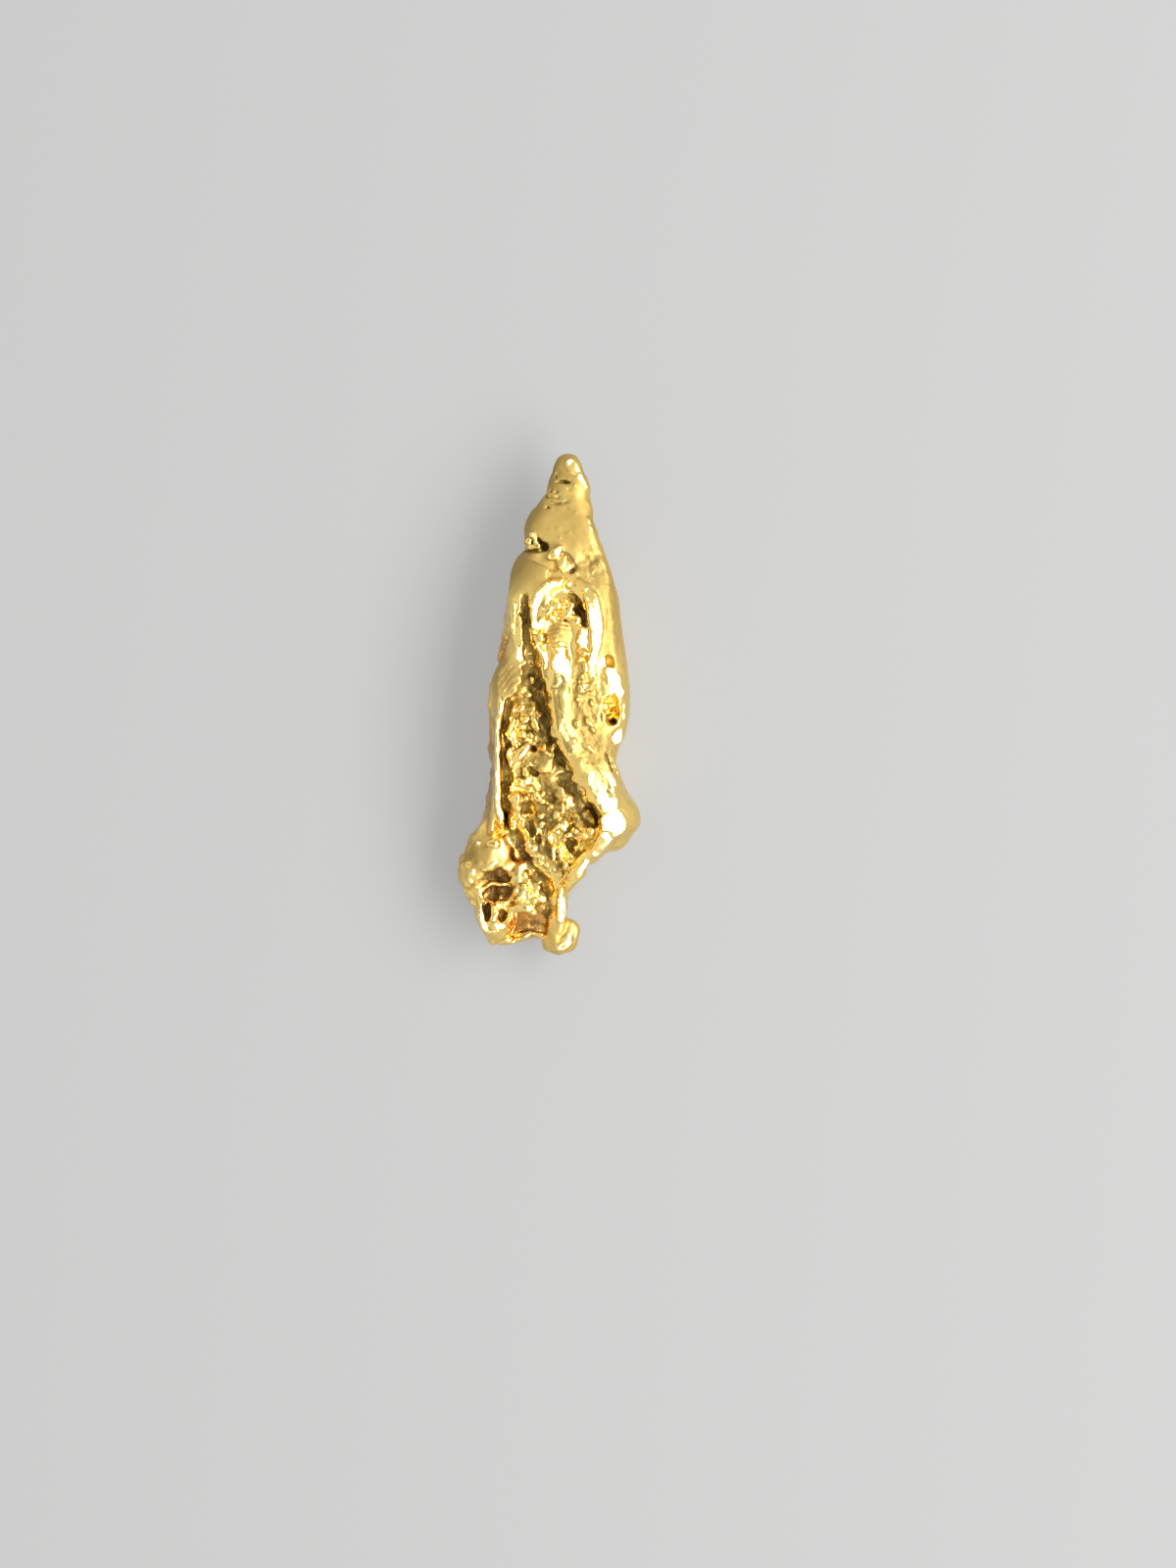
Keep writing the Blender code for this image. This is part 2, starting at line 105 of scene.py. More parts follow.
class Metal:
    """The nugget as distances on a grid, in millimetres: below zero inside the gold, above zero outside.

    A shape is joined by a smooth minimum and cut by a smooth maximum: between two distances that differ by
    less than the blend, the result is their mean less, or plus, a parabola in the difference. The shapes that
    the way of this file prefers, grids of two parameters, can't give webs, undercuts and pits that run into
    each other, so the looks come first here.
    """

    def __init__(self, step):
        self.step = step
        count = np.ceil((SPACE_HIGH - SPACE_LOW) / step).astype(int) + 1
        self.axes = [(SPACE_LOW[i] + step * np.arange(count[i])).astype(np.float32) for i in range(3)]
        self.away = np.full(tuple(count), EMPTY, np.float32)

    def window(self, low, high):
        """The part of the grid between two corners, and its x, y and z as arrays that broadcast."""
        part = []
        for i in range(3):
            first = int(np.clip(np.floor((low[i] - SPACE_LOW[i]) / self.step), 0, self.away.shape[i] - 1))
            last = int(np.clip(np.ceil((high[i] - SPACE_LOW[i]) / self.step) + 1, 1, self.away.shape[i]))
            part.append(slice(first, last))
        where = np.meshgrid(*[self.axes[i][part[i]] for i in range(3)], indexing="ij", sparse=True)
        return tuple(part), where

    def join(self, part, new, blend):
        """Adds a shape, given as distances over a part of the grid."""
        old = self.away[part]
        share = np.clip(0.5 + 0.5 * (old - new) / blend, 0, 1)
        self.away[part] = old + (new - old) * share - blend * share * (1 - share)

    def cut(self, part, new, blend):
        """Takes a shape away."""
        old, new = self.away[part], -new
        share = np.clip(0.5 - 0.5 * (old - new) / blend, 0, 1)
        self.away[part] = old + (new - old) * share + blend * share * (1 - share)

    def ellipsoid(self, centre, radii, turn, lean, pad):
        """Distance to an ellipsoid turned about the upright axis and then leaned, near enough for blending.

        The steps from the centre, each divided by its radius, have a length called near. The distance is near
        times near less one, over the slope of that length."""
        reach = max(radii) + pad
        centre = np.array(centre)
        part, (x, y, z) = self.window(centre - reach, centre + reach)
        x, y, z = x - centre[0], y - centre[1], z - centre[2]
        a, b = math.radians(turn), math.radians(lean)
        x, y = x * math.cos(a) + y * math.sin(a), y * math.cos(a) - x * math.sin(a)
        x, z = x * math.cos(b) + z * math.sin(b), z * math.cos(b) - x * math.sin(b)
        sx, sy, sz = (s / r for s, r in zip((x, y, z), radii))
        near = np.sqrt(sx**2 + sy**2 + sz**2)
        slope = np.sqrt((sx / radii[0]) ** 2 + (sy / radii[1]) ** 2 + (sz / radii[2]) ** 2)
        return part, (near * (near - 1) / np.maximum(slope, LEAST_SLOPE)).astype(np.float32)

    def lump(self, centre, radii, turn=0, lean=0, blend=0.1):
        self.join(*self.ellipsoid(centre, radii, turn, lean, blend + LUMP_MARGIN), blend)

    def hollow(self, centre, radii, turn=0, blend=0.06, ragged=0.0):
        part, away = self.ellipsoid(centre, radii, turn, 0, blend + LUMP_MARGIN)
        self.cut(part, away + self.uneven(part, ragged), blend)

    def uneven(self, part, amount):
        """Smooth noise over a part of the grid, for ragged walls."""
        if not amount:
            return 0.0
        where = np.meshgrid(*[self.axes[i][part[i]] for i in range(3)], indexing="ij")
        points = np.stack([w.ravel() for w in where], 1).astype(float)
        noise = sum(share * swell(points, size, seed) for share, size, seed in RAGGED_NOISE)
        return (amount * noise).reshape(where[0].shape).astype(np.float32)

    def sweep(self, route, tall, pad):
        """Distance to a tube along a curve through (x, y, z, radius) points.

        Its section is tall times as high as wide. Each point's distance is to the nearest place on the curve,
        measured with z shrunk by tall, less the radius there."""
        path = through(np.array(route, float))
        points, radii = path[:, :3], path[:, 3]
        high = radii[:, None] * max(1.0, tall) + pad
        low_corner, high_corner = (points - high).min(0), (points + high).max(0)
        part, (x, y, z) = self.window(low_corner, high_corner)
        best = np.full(np.broadcast_shapes(x.shape, y.shape, z.shape), FAR, np.float32)
        for a, b, ra, rb in zip(points[:-1], points[1:], radii[:-1], radii[1:]):
            run = (b - a) / (1, 1, tall)
            dx, dy, dz = x - a[0], y - a[1], (z - a[2]) / tall
            along = np.clip((dx * run[0] + dy * run[1] + dz * run[2]) / max(run @ run, LEAST_RUN), 0, 1)
            off = (dx - along * run[0]) ** 2 + (dy - along * run[1]) ** 2 + (dz - along * run[2]) ** 2
            best = np.minimum(best, np.sqrt(off) - (ra + along * (rb - ra)))
        return part, best

    def ridge(self, route, tall=1.0, blend=0.08):
        self.join(*self.sweep(route, tall, blend + ROUTE_MARGIN), blend)

    def groove(self, route, tall=1.0, blend=0.05, ragged=0.0):
        part, away = self.sweep(route, tall, blend + ROUTE_MARGIN)
        self.cut(part, away + self.uneven(part, ragged), blend)

    def trunk(self, stations, tall, squareness, blend=0.1):
        """A body along y: at each y a superellipse about a centre, tall times as high as wide.

        The stations' (x, y, z, half width) are joined by straight lines and then rounded by a moving mean."""
        table = np.array(sorted(stations, key=lambda row: row[1]))
        y_fine = np.arange(table[0, 1] - 0.5, table[-1, 1] + 0.5, STATION_STEP)
        rows = [rounded(np.interp(y_fine, table[:, 1], table[:, i]), STATION_ROUNDING) for i in (0, 2, 3)]
        part, (x, y, z) = self.window((-FAR, table[0, 1] - 0.6, -FAR), (FAR, table[-1, 1] + 0.6, FAR))
        cx, cz, half = (np.interp(y, y_fine, row) for row in rows)
        beyond = np.maximum(np.maximum(table[0, 1] - y, y - table[-1, 1]), 0)
        across, up = np.abs(x - cx) ** squareness, np.abs((z - cz) / tall) ** squareness
        side = (across + up) ** (1 / squareness)
        self.join(part, (np.sqrt(side**2 + beyond**2) - half).astype(np.float32), blend)

    def shave(self, point, normal, reach, blend):
        """Takes off what lies outside a plane, within reach of a point on it, less twice the blend."""
        point, normal = np.array(point, float), np.array(normal, float)
        normal = normal / np.linalg.norm(normal)
        part, where = self.window(point - reach, point + reach)
        steps = [w - p for w, p in zip(where, point)]
        inside = -sum(s * n for s, n in zip(steps, normal))
        far = np.sqrt(sum(s**2 for s in steps)) - reach
        self.cut(part, np.maximum(inside, far + 2 * blend).astype(np.float32), blend)

    def flat(self, route, normal, lift, blend):
        """A worn flat along a route of (x, y, half width), lift above the gold under the route.

        It slopes as the normal says: what stands above its plane is cut, and what is missing below is filled.
        A route of one point is a round flat."""
        tops = rounded(np.array([self.top_at(x, y) for x, y, _ in route]), 1)
        path = np.array([(x, y, top + lift, half) for (x, y, half), top in zip(route, tops)])
        path = through(path) if len(path) > 1 else np.vstack([path, path + (HAIR, 0, 0, 0)])
        wide = path[:, 3].max() + 2 * blend + ROUTE_MARGIN
        low, high = path[:, :3].min(0) - wide, path[:, :3].max(0) + wide
        low[2] -= FLAT_DEPTH
        part, (x, y, z) = self.window(low, high)
        off = np.full(np.broadcast_shapes(x.shape, y.shape), FAR)
        height = np.zeros_like(off)
        for a, b in zip(path[:-1], path[1:]):
            run = b - a
            along = ((x - a[0]) * run[0] + (y - a[1]) * run[1]) / max(run[:2] @ run[:2], LEAST_RUN)
            along = np.clip(along, 0, 1)
            dx, dy = x - a[0] - along * run[0], y - a[1] - along * run[1]
            away = np.hypot(dx, dy) - (a[3] + along * run[3])
            slope = (a[2] + along * run[2]) - (dx * normal[0] + dy * normal[1]) / normal[2]
            height = np.where(away < off, slope, height)
            off = np.minimum(off, away)
        spots = np.stack(np.broadcast_arrays(x, y, np.zeros_like(x + y)), -1).reshape(-1, 3).astype(float)
        ragged = min(FLAT_RAGGED, 0.3 * path[:, 3].min())
        off = off + ragged * swell(spots, 0.16, 80).reshape(off.shape)
        above = (z - height) * normal[2]
        self.join(part, np.maximum(np.maximum(off, above), height - FLAT_DEPTH - z).astype(np.float32), blend)
        self.cut(part, np.maximum(off, -above).astype(np.float32), blend)

    def top_at(self, x, y):
        """Height of the highest gold over a point, from the mean of the nine grid columns round it.

        Where those hold no gold, the square of columns is made wider until it does."""
        i = int(round((x - SPACE_LOW[0]) / self.step))
        j = int(round((y - SPACE_LOW[1]) / self.step))
        column = self.away[i - 1 : i + 2, j - 1 : j + 2].mean((0, 1))
        reach = 1
        while column.min() >= 0:
            reach += 1
            column = self.away[i - reach : i + reach + 1, j - reach : j + reach + 1].min((0, 1))
        k = np.nonzero(column < 0)[0][-1]
        return float(self.axes[2][k] + self.step * column[k] / (column[k] - column[k + 1]))

    def near_skin(self, band):
        """The grid points within a band on both sides of the skin: their numbers, and their places."""
        numbers = np.nonzero(np.abs(self.away) < band)
        return numbers, np.stack([self.axes[n][numbers[n]] for n in range(3)], 1).astype(float)

    def pull_about(self, calm_at):
        """Moves the whole skin about by smooth noise, less where it is calm, so that no form looks drawn."""
        (i, j, k), points = self.near_skin(PULLED_BAND)
        shift = sum(three_swells(points, size, seed) * most for size, seed, most in PULLS)
        shift = shift * (1 - calm_at(points))[:, None]
        place = (points + shift - SPACE_LOW) / self.step
        cell = np.clip(np.floor(place).astype(int), 0, np.array(self.away.shape) - 2)
        u, v, w = (place - cell).T
        a, b, c = cell.T
        moved = np.zeros(len(points))
        for di, dj, dk, weight in cube_corners(u, v, w):
            moved += weight * self.away[a + di, b + dj, c + dk]
        self.away[i, j, k] = moved.astype(np.float32)


# Curves: the points on each span
PER_SPAN = 6


def through(route):
    """Points of a Catmull-Rom curve through the route's, with the radius carried along as a fourth value.

    Between two points it is the cubic that passes each one along the line between that one's neighbours."""
    if len(route) == 2:
        return route
    ends = np.vstack([2 * route[0] - route[1], route, 2 * route[-1] - route[-2]])
    ends[:, 3] = np.clip(ends[:, 3], route[:, 3].min(), None)
    t = (np.arange(PER_SPAN) / PER_SPAN)[:, None]
    pieces = []
    for a, b, c, d in zip(ends[:-3], ends[1:-2], ends[2:-1], ends[3:]):
        bend, twist = 2 * a - 5 * b + 4 * c - d, 3 * b - a - 3 * c + d
        pieces.append(0.5 * (2 * b + (c - a) * t + bend * t**2 + twist * t**3))
    return np.vstack(pieces + [route[-1:]])


def rounded(values, reach):
    """The moving mean of values, weighted by a cosine bell reach steps to each side."""
    bell = 1 + np.cos(np.linspace(-math.pi, math.pi, 2 * reach + 1))
    padded = np.pad(values, reach, mode="edge")
    return np.convolve(padded, bell / bell.sum(), mode="valid")


# Noise for the natural surface

def scatter(i, j, k, seed):
    """A fixed number from 0 to 1 for each whole-number place, by mixing its bits."""
    i, j, k = (n.astype(np.int64) for n in (i, j, k))
    mixed = i * 374761393 + j * 668265263 + k * 2147483647
    mixed = (mixed + seed * 1274126177) & 0xFFFFFFFF
    mixed = ((mixed ^ (mixed >> 13)) * 1274126177) & 0xFFFFFFFF
    mixed = ((mixed ^ (mixed >> 16)) * 2246822519) & 0xFFFFFFFF
    return ((mixed ^ (mixed >> 15)) & 0xFFFFFF) / float(0xFFFFFF)


def cube_corners(u, v, w):
    """The eight corners of a unit cube, as whole steps, with each one's weight at a place (u, v, w) in it."""
    for a in (0, 1):
        for b in (0, 1):
            for c in (0, 1):
                yield a, b, c, (u if a else 1 - u) * (v if b else 1 - v) * (w if c else 1 - w)


def swell(points, size, seed):
    """Smooth noise from -1 to 1, its lumps about size across: corner values eased together in each cube."""
    scaled = points / size
    cell = np.floor(scaled)
    i, j, k = cell.T
    u, v, w = (t**3 * (t * (t * 6 - 15) + 10) for t in (scaled - cell).T)
    total = np.zeros(len(points))
    for a, b, c, weight in cube_corners(u, v, w):
        total += weight * scatter(i + a, j + b, k + c, seed)
    return total * 2 - 1


def three_swells(points, size, seed):
    return np.stack([swell(points, size, seed + n) for n in range(3)], 1)


def nearest_seeds(points, size, seed):
    """The distances to the two nearest seeds, as shares of a size: each cube of that size holds one seed."""
    scaled = points / size
    cell = np.floor(scaled)
    nearest = np.full(len(points), FAR)
    second = np.full(len(points), FAR)
    for a in (-1, 0, 1):
        for b in (-1, 0, 1):
            for c in (-1, 0, 1):
                i, j, k = (cell + (a, b, c)).T
                seeds = [n + scatter(i, j, k, seed + 7 * turn) for turn, n in enumerate((i, j, k))]
                off = np.sqrt(((np.stack(seeds, 1) - scaled) ** 2).sum(1))
                second = np.minimum(second, np.maximum(nearest, off))
                nearest = np.minimum(nearest, off)
    return nearest, second


def beads(points, size, seed):
    """Round beads about size across: half circles over the distance to the nearest seed, from 0 to 1, with a
    gap where two seeds are about as near."""
    nearest, second = nearest_seeds(points, size, seed)
    return np.sqrt(np.clip(1 - (nearest / 0.8) ** 2, 0, 1)) * np.clip((second - nearest) * 5, 0, 1)


def pits(points, size, seed):
    """Small round pits about the seeds, from 0 at 0.28 of a size away to 1 at a pit's middle."""
    nearest, _ = nearest_seeds(points, size, seed)
    return np.clip(1 - nearest / 0.28, 0, 1) ** 0.7


# The line that the streaks of the right flank follow: y, x
STREAK_LINE = np.array([
    (-3.2, 1.70), (-2.5, 1.28), (-2.1, 1.06), (-1.8, 0.84), (-1.2, 0.60), (-0.45, 0.34), (0.45, 0.25),
    (1.2, 0.42), (2.0, 0.42), (2.7, 0.25), (3.5, 0.05), (4.5, -0.2),
])


def streaks(points, width, length, seed):
    """Fine ridges along the streak line, at most 1: the folds of smooth noise that is drawn out along it."""
    x, y, z = points.T
    across = x - np.interp(y, STREAK_LINE[:, 0], STREAK_LINE[:, 1])
    drawn = np.stack([across / width, y / length, z / (width * 2.5)], 1)
    return 1 - np.abs(swell(drawn, 1.0, seed)) * 1.6


# The nugget's forms, from the tip down

def trunk_and_lobes(metal):
    metal.trunk([
        (0.28, 4.35, 1.42, 0.60), (0.22, 4.10, 1.42, 0.76), (0.27, 3.75, 1.42, 0.84),
        (0.36, 3.45, 1.42, 0.87), (0.28, 2.95, 1.40, 1.12), (0.27, 2.40, 1.38, 1.25),
        (0.29, 1.70, 1.36, 1.30), (0.28, 0.90, 1.34, 1.36), (0.22, 0.20, 1.32, 1.36),
        (0.16, -0.60, 1.30, 1.32), (0.14, -1.20, 1.28, 1.30), (0.26, -1.80, 1.27, 1.40),
        (0.30, -2.30, 1.25, 1.36), (0.24, -2.85, 1.20, 1.05), (0.18, -3.30, 1.16, 0.72),
    ], tall=0.93, squareness=3.8)
    metal.trunk([
        (0.38, 5.38, 1.42, 0.33), (0.41, 5.05, 1.42, 0.46), (0.37, 4.70, 1.42, 0.48),
        (0.36, 4.40, 1.42, 0.60),
    ], tall=0.9, squareness=3.0, blend=0.06)
    metal.lump((-0.10, 4.02, 1.50), (0.50, 0.60, 0.60), -20, blend=0.1)
    metal.lump((-0.30, 2.85, 1.55), (0.64, 0.80, 0.78), -12, blend=0.1)
    # the swelling that carries the ear
    metal.trunk([
        (1.00, 2.30, 1.38, 0.48), (1.05, 1.50, 1.40, 0.56), (1.08, 0.80, 1.42, 0.64),
        (1.09, 0.20, 1.42, 0.67), (1.06, -0.40, 1.40, 0.65), (0.98, -0.90, 1.38, 0.55),
    ], tall=1.36, squareness=3.8, blend=0.12)
    metal.lump((1.15, -2.25, 1.45), (0.80, 0.62, 0.85), -35, blend=0.2)
    metal.lump((1.50, -2.55, 1.55), (0.54, 0.50, 0.64), -20, blend=0.15)
    metal.lump((1.38, -2.92, 1.42), (0.46, 0.40, 0.50), 30, blend=0.12)
    metal.lump((0.98, -3.28, 1.38), (0.32, 0.24, 0.40), 38, blend=0.12)
    metal.lump((-0.80, -2.95, 1.10), (0.50, 0.55, 0.56), 20, blend=0.15)


def slopes(metal):
    """The flat face of the head, the slight slope of the right side, and the low basin round the mouth."""
    metal.shave((0.25, 4.05, 2.04), (0.02, 0.12, 0.99), 1.2, blend=0.08)
    metal.shave((0.45, 2.75, 2.30), (0.02, 0.33, 0.944), 0.70, blend=0.06)
    metal.shave((1.00, 2.82, 2.264), (0.02, 0.33, 0.944), 0.76, blend=0.06)
    for y, height in ((1.9, 2.49), (0.9, 2.50), (-0.2, 2.50), (-1.2, 2.44)):
        metal.shave((0.35, y, height), (0.09, 0.0, 0.996), 1.6, blend=0.06)
    metal.hollow((0.25, 1.50, 3.10), (0.70, 1.35, 0.80), 0, blend=0.12)


def stalk_and_foot(metal):
    metal.ridge([
        (0.14, -3.30, 1.22, 0.50), (0.12, -3.90, 1.15, 0.32), (0.10, -4.50, 1.05, 0.24),
        (0.10, -5.25, 0.98, 0.23),
    ], tall=1.5, blend=0.15)
    metal.lump((0.06, -5.42, 0.95), (0.29, 0.29, 0.34), 20, blend=0.12)
    metal.lump((0.37, -5.22, 0.98), (0.22, 0.36, 0.34), -12, blend=0.08)


def cup_lobe(metal):
    metal.lump((-1.42, -3.45, 1.30), (0.54, 0.68, 0.64), -24, blend=0.15)
    metal.lump((-1.66, -3.72, 1.30), (0.42, 0.46, 0.54), blend=0.12)
    metal.lump((-1.34, -4.35, 1.12), (0.46, 0.84, 0.62), 10, blend=0.14)
    metal.lump((-1.26, -4.98, 1.05), (0.35, 0.42, 0.48), 12, blend=0.12)
    metal.lump((-1.68, -4.12, 1.12), (0.30, 0.40, 0.42), blend=0.10)
    metal.lump((-0.24, -4.20, 1.02), (0.30, 0.60, 0.40), blend=0.10)
    metal.lump((-0.85, -3.90, 1.10), (0.66, 0.62, 0.58), blend=0.18)
    metal.lump((-0.56, -4.25, 1.25), (0.38, 0.38, 0.52), blend=0.12)
    metal.lump((-0.55, -4.75, 0.92), (0.66, 0.30, 0.26), -8, blend=0.12)


def left_flange(metal):
    metal.ridge([
        (-1.24, 0.45, 1.30, 0.14), (-1.29, -0.10, 1.25, 0.11), (-1.30, -0.80, 1.24, 0.08),
        (-1.33, -1.60, 1.24, 0.08), (-1.39, -2.10, 1.25, 0.09), (-1.49, -2.60, 1.30, 0.10),
        (-1.66, -3.00, 1.35, 0.14),
    ], tall=2.2, blend=0.12)
    metal.ridge([
        (-1.12, 0.20, 1.50, 0.12), (-1.20, -0.80, 1.50, 0.12), (-1.24, -1.60, 1.50, 0.12),
        (-1.28, -2.30, 1.45, 0.14), (-1.34, -2.80, 1.45, 0.13),
    ], tall=4.5, blend=0.12)


def left_facet(metal):
    metal.lump((-0.92, 0.62, 1.76), (0.40, 0.54, 0.56), -24, blend=0.08)
    for x, y, z, wide, long in (
        (-1.02, 1.52, 1.64, 0.15, 0.13), (-1.07, 1.33, 1.64, 0.12, 0.10), (-1.14, 1.10, 1.57, 0.10, 0.17),
        (-0.95, 1.28, 1.76, 0.09, 0.08), (-0.98, 1.12, 1.70, 0.10, 0.09), (-1.00, 1.68, 1.62, 0.08, 0.10),
    ):
        metal.lump((x, y, z), (wide, long, 0.22), blend=0.04)


def right_ear_wall(metal):
    metal.ridge([
        (1.40, 1.70, 1.55, 0.10), (1.56, 1.10, 1.70, 0.12), (1.64, 0.40, 1.75, 0.13),
        (1.65, -0.20, 1.75, 0.12), (1.57, -0.62, 1.70, 0.13), (1.45, -0.87, 1.60, 0.10),
    ], tall=2.2, blend=0.1)


def recess(metal):
    for centre, radii, turn in (
        ((-0.50, 0.15, 2.72), (0.43, 0.66, 0.74), -14), ((-0.50, -0.75, 2.74), (0.58, 0.85, 0.82), 14),
        ((-0.25, -1.75, 2.74), (0.76, 0.90, 0.90), 24), ((0.10, -2.60, 2.60), (0.86, 0.80, 0.86), 20),
        ((0.05, -3.35, 2.30), (0.52, 0.70, 0.66), 10),
    ):
        metal.hollow(centre, radii, turn, blend=0.12, ragged=0.06)
    # the low back of gold along its middle, between the furrows
    metal.ridge([
        (-0.68, 0.00, 1.90, 0.14), (-0.64, -0.60, 1.88, 0.20), (-0.48, -1.10, 1.86, 0.24),
        (-0.48, -1.75, 1.82, 0.25), (-0.20, -2.25, 1.78, 0.25), (0.16, -2.72, 1.72, 0.30),
        (0.12, -3.35, 1.54, 0.20),
    ], tall=0.9, blend=0.10)


def rims(metal):
    # the thin left rim
    metal.ridge([
        (-1.08, 0.32, 1.95, 0.08), (-1.14, -0.20, 2.0, 0.07), (-1.18, -0.80, 2.02, 0.07),
        (-1.19, -1.30, 2.03, 0.07), (-1.18, -1.95, 2.02, 0.075), (-1.14, -2.40, 1.92, 0.08),
        (-1.10, -2.80, 1.66, 0.10),
    ], tall=5.5, blend=0.06)
    # the crest right of the recess
    metal.ridge([
        (0.18, 0.65, 2.30, 0.18), (0.20, 0.10, 2.32, 0.17), (0.30, -0.50, 2.32, 0.16),
        (0.55, -1.15, 2.28, 0.16), (0.80, -1.65, 2.24, 0.17), (1.04, -2.05, 2.16, 0.20),
    ], tall=1.2, blend=0.16)
    metal.lump((1.36, -2.56, 1.78), (0.42, 0.36, 0.42), 20, blend=0.10)
    # the lower right edge, from the knob to the stalk and down it
    metal.ridge([
        (1.50, -2.72, 1.95, 0.26), (1.18, -3.05, 1.97, 0.21), (0.85, -3.43, 1.90, 0.17),
        (0.62, -3.72, 1.82, 0.16),
    ], tall=1.5, blend=0.1)
    metal.ridge([
        (0.62, -3.78, 1.82, 0.16), (0.46, -3.92, 1.76, 0.15), (0.30, -4.12, 1.60, 0.12),
        (0.23, -4.40, 1.48, 0.10), (0.21, -4.80, 1.36, 0.10), (0.19, -5.10, 1.22, 0.08),
    ], tall=1.5, blend=0.05)


def mouth(metal):
    # the strip on the left, and the groove right of it, which opens into the recess
    metal.ridge([
        (-0.82, 2.36, 2.02, 0.12), (-0.84, 1.95, 2.10, 0.11), (-0.79, 1.50, 2.18, 0.11),
        (-0.69, 1.02, 2.22, 0.11),
    ], tall=2.0, blend=0.06)
    metal.groove([
        (-0.56, 2.42, 2.42, 0.09), (-0.57, 1.95, 2.42, 0.125), (-0.53, 1.45, 2.44, 0.135),
        (-0.45, 1.10, 2.43, 0.17), (-0.42, 0.75, 2.40, 0.24), (-0.40, 0.40, 2.36, 0.28),
    ], tall=1.3, blend=0.06, ragged=0.07)
    # the hollow itself, and the arch round it, broad at its crown
    metal.hollow((0.18, 2.05, 2.89), (0.48, 0.58, 0.46), 6, blend=0.08)
    metal.ridge([
        (-0.34, 1.66, 2.20, 0.07), (-0.36, 2.00, 2.26, 0.11), (-0.27, 2.38, 2.30, 0.16),
        (-0.04, 2.64, 2.30, 0.18), (0.26, 2.74, 2.28, 0.15),
    ], tall=1.4, blend=0.06)
    # the broad smooth band down its right side
    metal.ridge([
        (0.66, 2.72, 2.22, 0.13), (0.86, 2.45, 2.30, 0.16), (0.98, 2.10, 2.34, 0.19),
        (1.02, 1.70, 2.36, 0.18), (1.00, 1.30, 2.36, 0.14), (0.94, 0.95, 2.36, 0.11),
        (0.89, 0.55, 2.36, 0.08),
    ], tall=1.2, blend=0.07)
    # the cleft between the two
    metal.groove([
        (0.38, 2.66, 2.48, 0.05), (0.48, 2.47, 2.40, 0.08), (0.61, 2.26, 2.36, 0.085),
        (0.72, 2.02, 2.34, 0.075), (0.78, 1.76, 2.38, 0.05),
    ], tall=2.2, blend=0.03, ragged=0.05)
    # the cushion under the hood, and the post below it
    metal.lump((0.17, 1.62, 2.10), (0.36, 0.46, 0.40), blend=0.06)
    metal.ridge([
        (0.18, 1.35, 2.24, 0.24), (0.20, 1.00, 2.32, 0.24), (0.24, 0.62, 2.34, 0.20),
        (0.20, 0.30, 2.34, 0.16),
    ], tall=0.9, blend=0.08)
    metal.groove([
        (0.56, 1.72, 2.44, 0.03), (0.53, 1.30, 2.54, 0.04), (0.50, 0.90, 2.60, 0.035),
        (0.60, 0.55, 2.60, 0.03), (0.62, 0.32, 2.60, 0.02),
    ], tall=2.0, blend=0.03)
    metal.lump((0.74, 1.40, 2.28), (0.20, 0.44, 0.20), blend=0.06)
    for x, y, wide, long, turn in (
        (-0.07, 2.09, 0.09, 0.14, -42), (0.13, 2.27, 0.12, 0.09, 0), (0.33, 2.05, 0.10, 0.10, 0),
        (0.49, 2.22, 0.09, 0.10, -20), (0.61, 1.88, 0.11, 0.11, 0), (-0.22, 1.53, 0.11, 0.14, 10),
        (-0.38, 1.64, 0.08, 0.07, 0), (0.36, 2.32, 0.08, 0.08, 0), (0.46, 1.98, 0.07, 0.08, 0),
        (0.70, 1.17, 0.15, 0.12, -20), (0.78, 0.86, 0.09, 0.12, 0), (0.66, 0.98, 0.07, 0.08, 0),
        (0.72, 0.38, 0.13, 0.10, 20), (0.86, 0.44, 0.08, 0.09, 0), (0.68, 0.66, 0.08, 0.07, 0),
        (-0.62, 0.96, 0.10, 0.08, 20), (-0.80, 0.92, 0.09, 0.06, 0), (0.04, 1.98, 0.10, 0.07, 0),
        (0.18, 2.14, 0.06, 0.05, 0), (0.95, 0.05, 0.06, 0.10, 0), (0.60, -0.42, 0.06, 0.09, 0),
        (0.86, -0.38, 0.06, 0.12, 30), (0.55, 0.12, 0.06, 0.07, 0), (1.02, -0.55, 0.06, 0.10, 40),
    ):
        metal.lump((x, y, metal.top_at(x, y) + 0.015), (wide, long, 0.10), turn, blend=0.03)
    metal.hollow((-0.11, 1.47, 2.46), (0.03, 0.13, 0.14), -16, blend=0.02)
    metal.hollow((0.33, 1.91, 2.46), (0.04, 0.045, 0.14), blend=0.02)
    metal.hollow((0.11, 2.17, 2.46), (0.03, 0.06, 0.12), -20, blend=0.02)
    metal.groove([(0.93, 1.66, 2.56, 0.02), (0.92, 1.40, 2.56, 0.025), (0.85, 1.20, 2.54, 0.02)], 2.6, 0.02)
    metal.groove([
        (1.00, 0.92, 2.46, 0.018), (1.03, 0.55, 2.46, 0.02), (1.02, 0.25, 2.44, 0.018),
    ], 2.6, 0.02)
    metal.groove([(0.44, 0.48, 2.56, 0.03), (0.50, 0.26, 2.54, 0.02)], 2.2, 0.03)


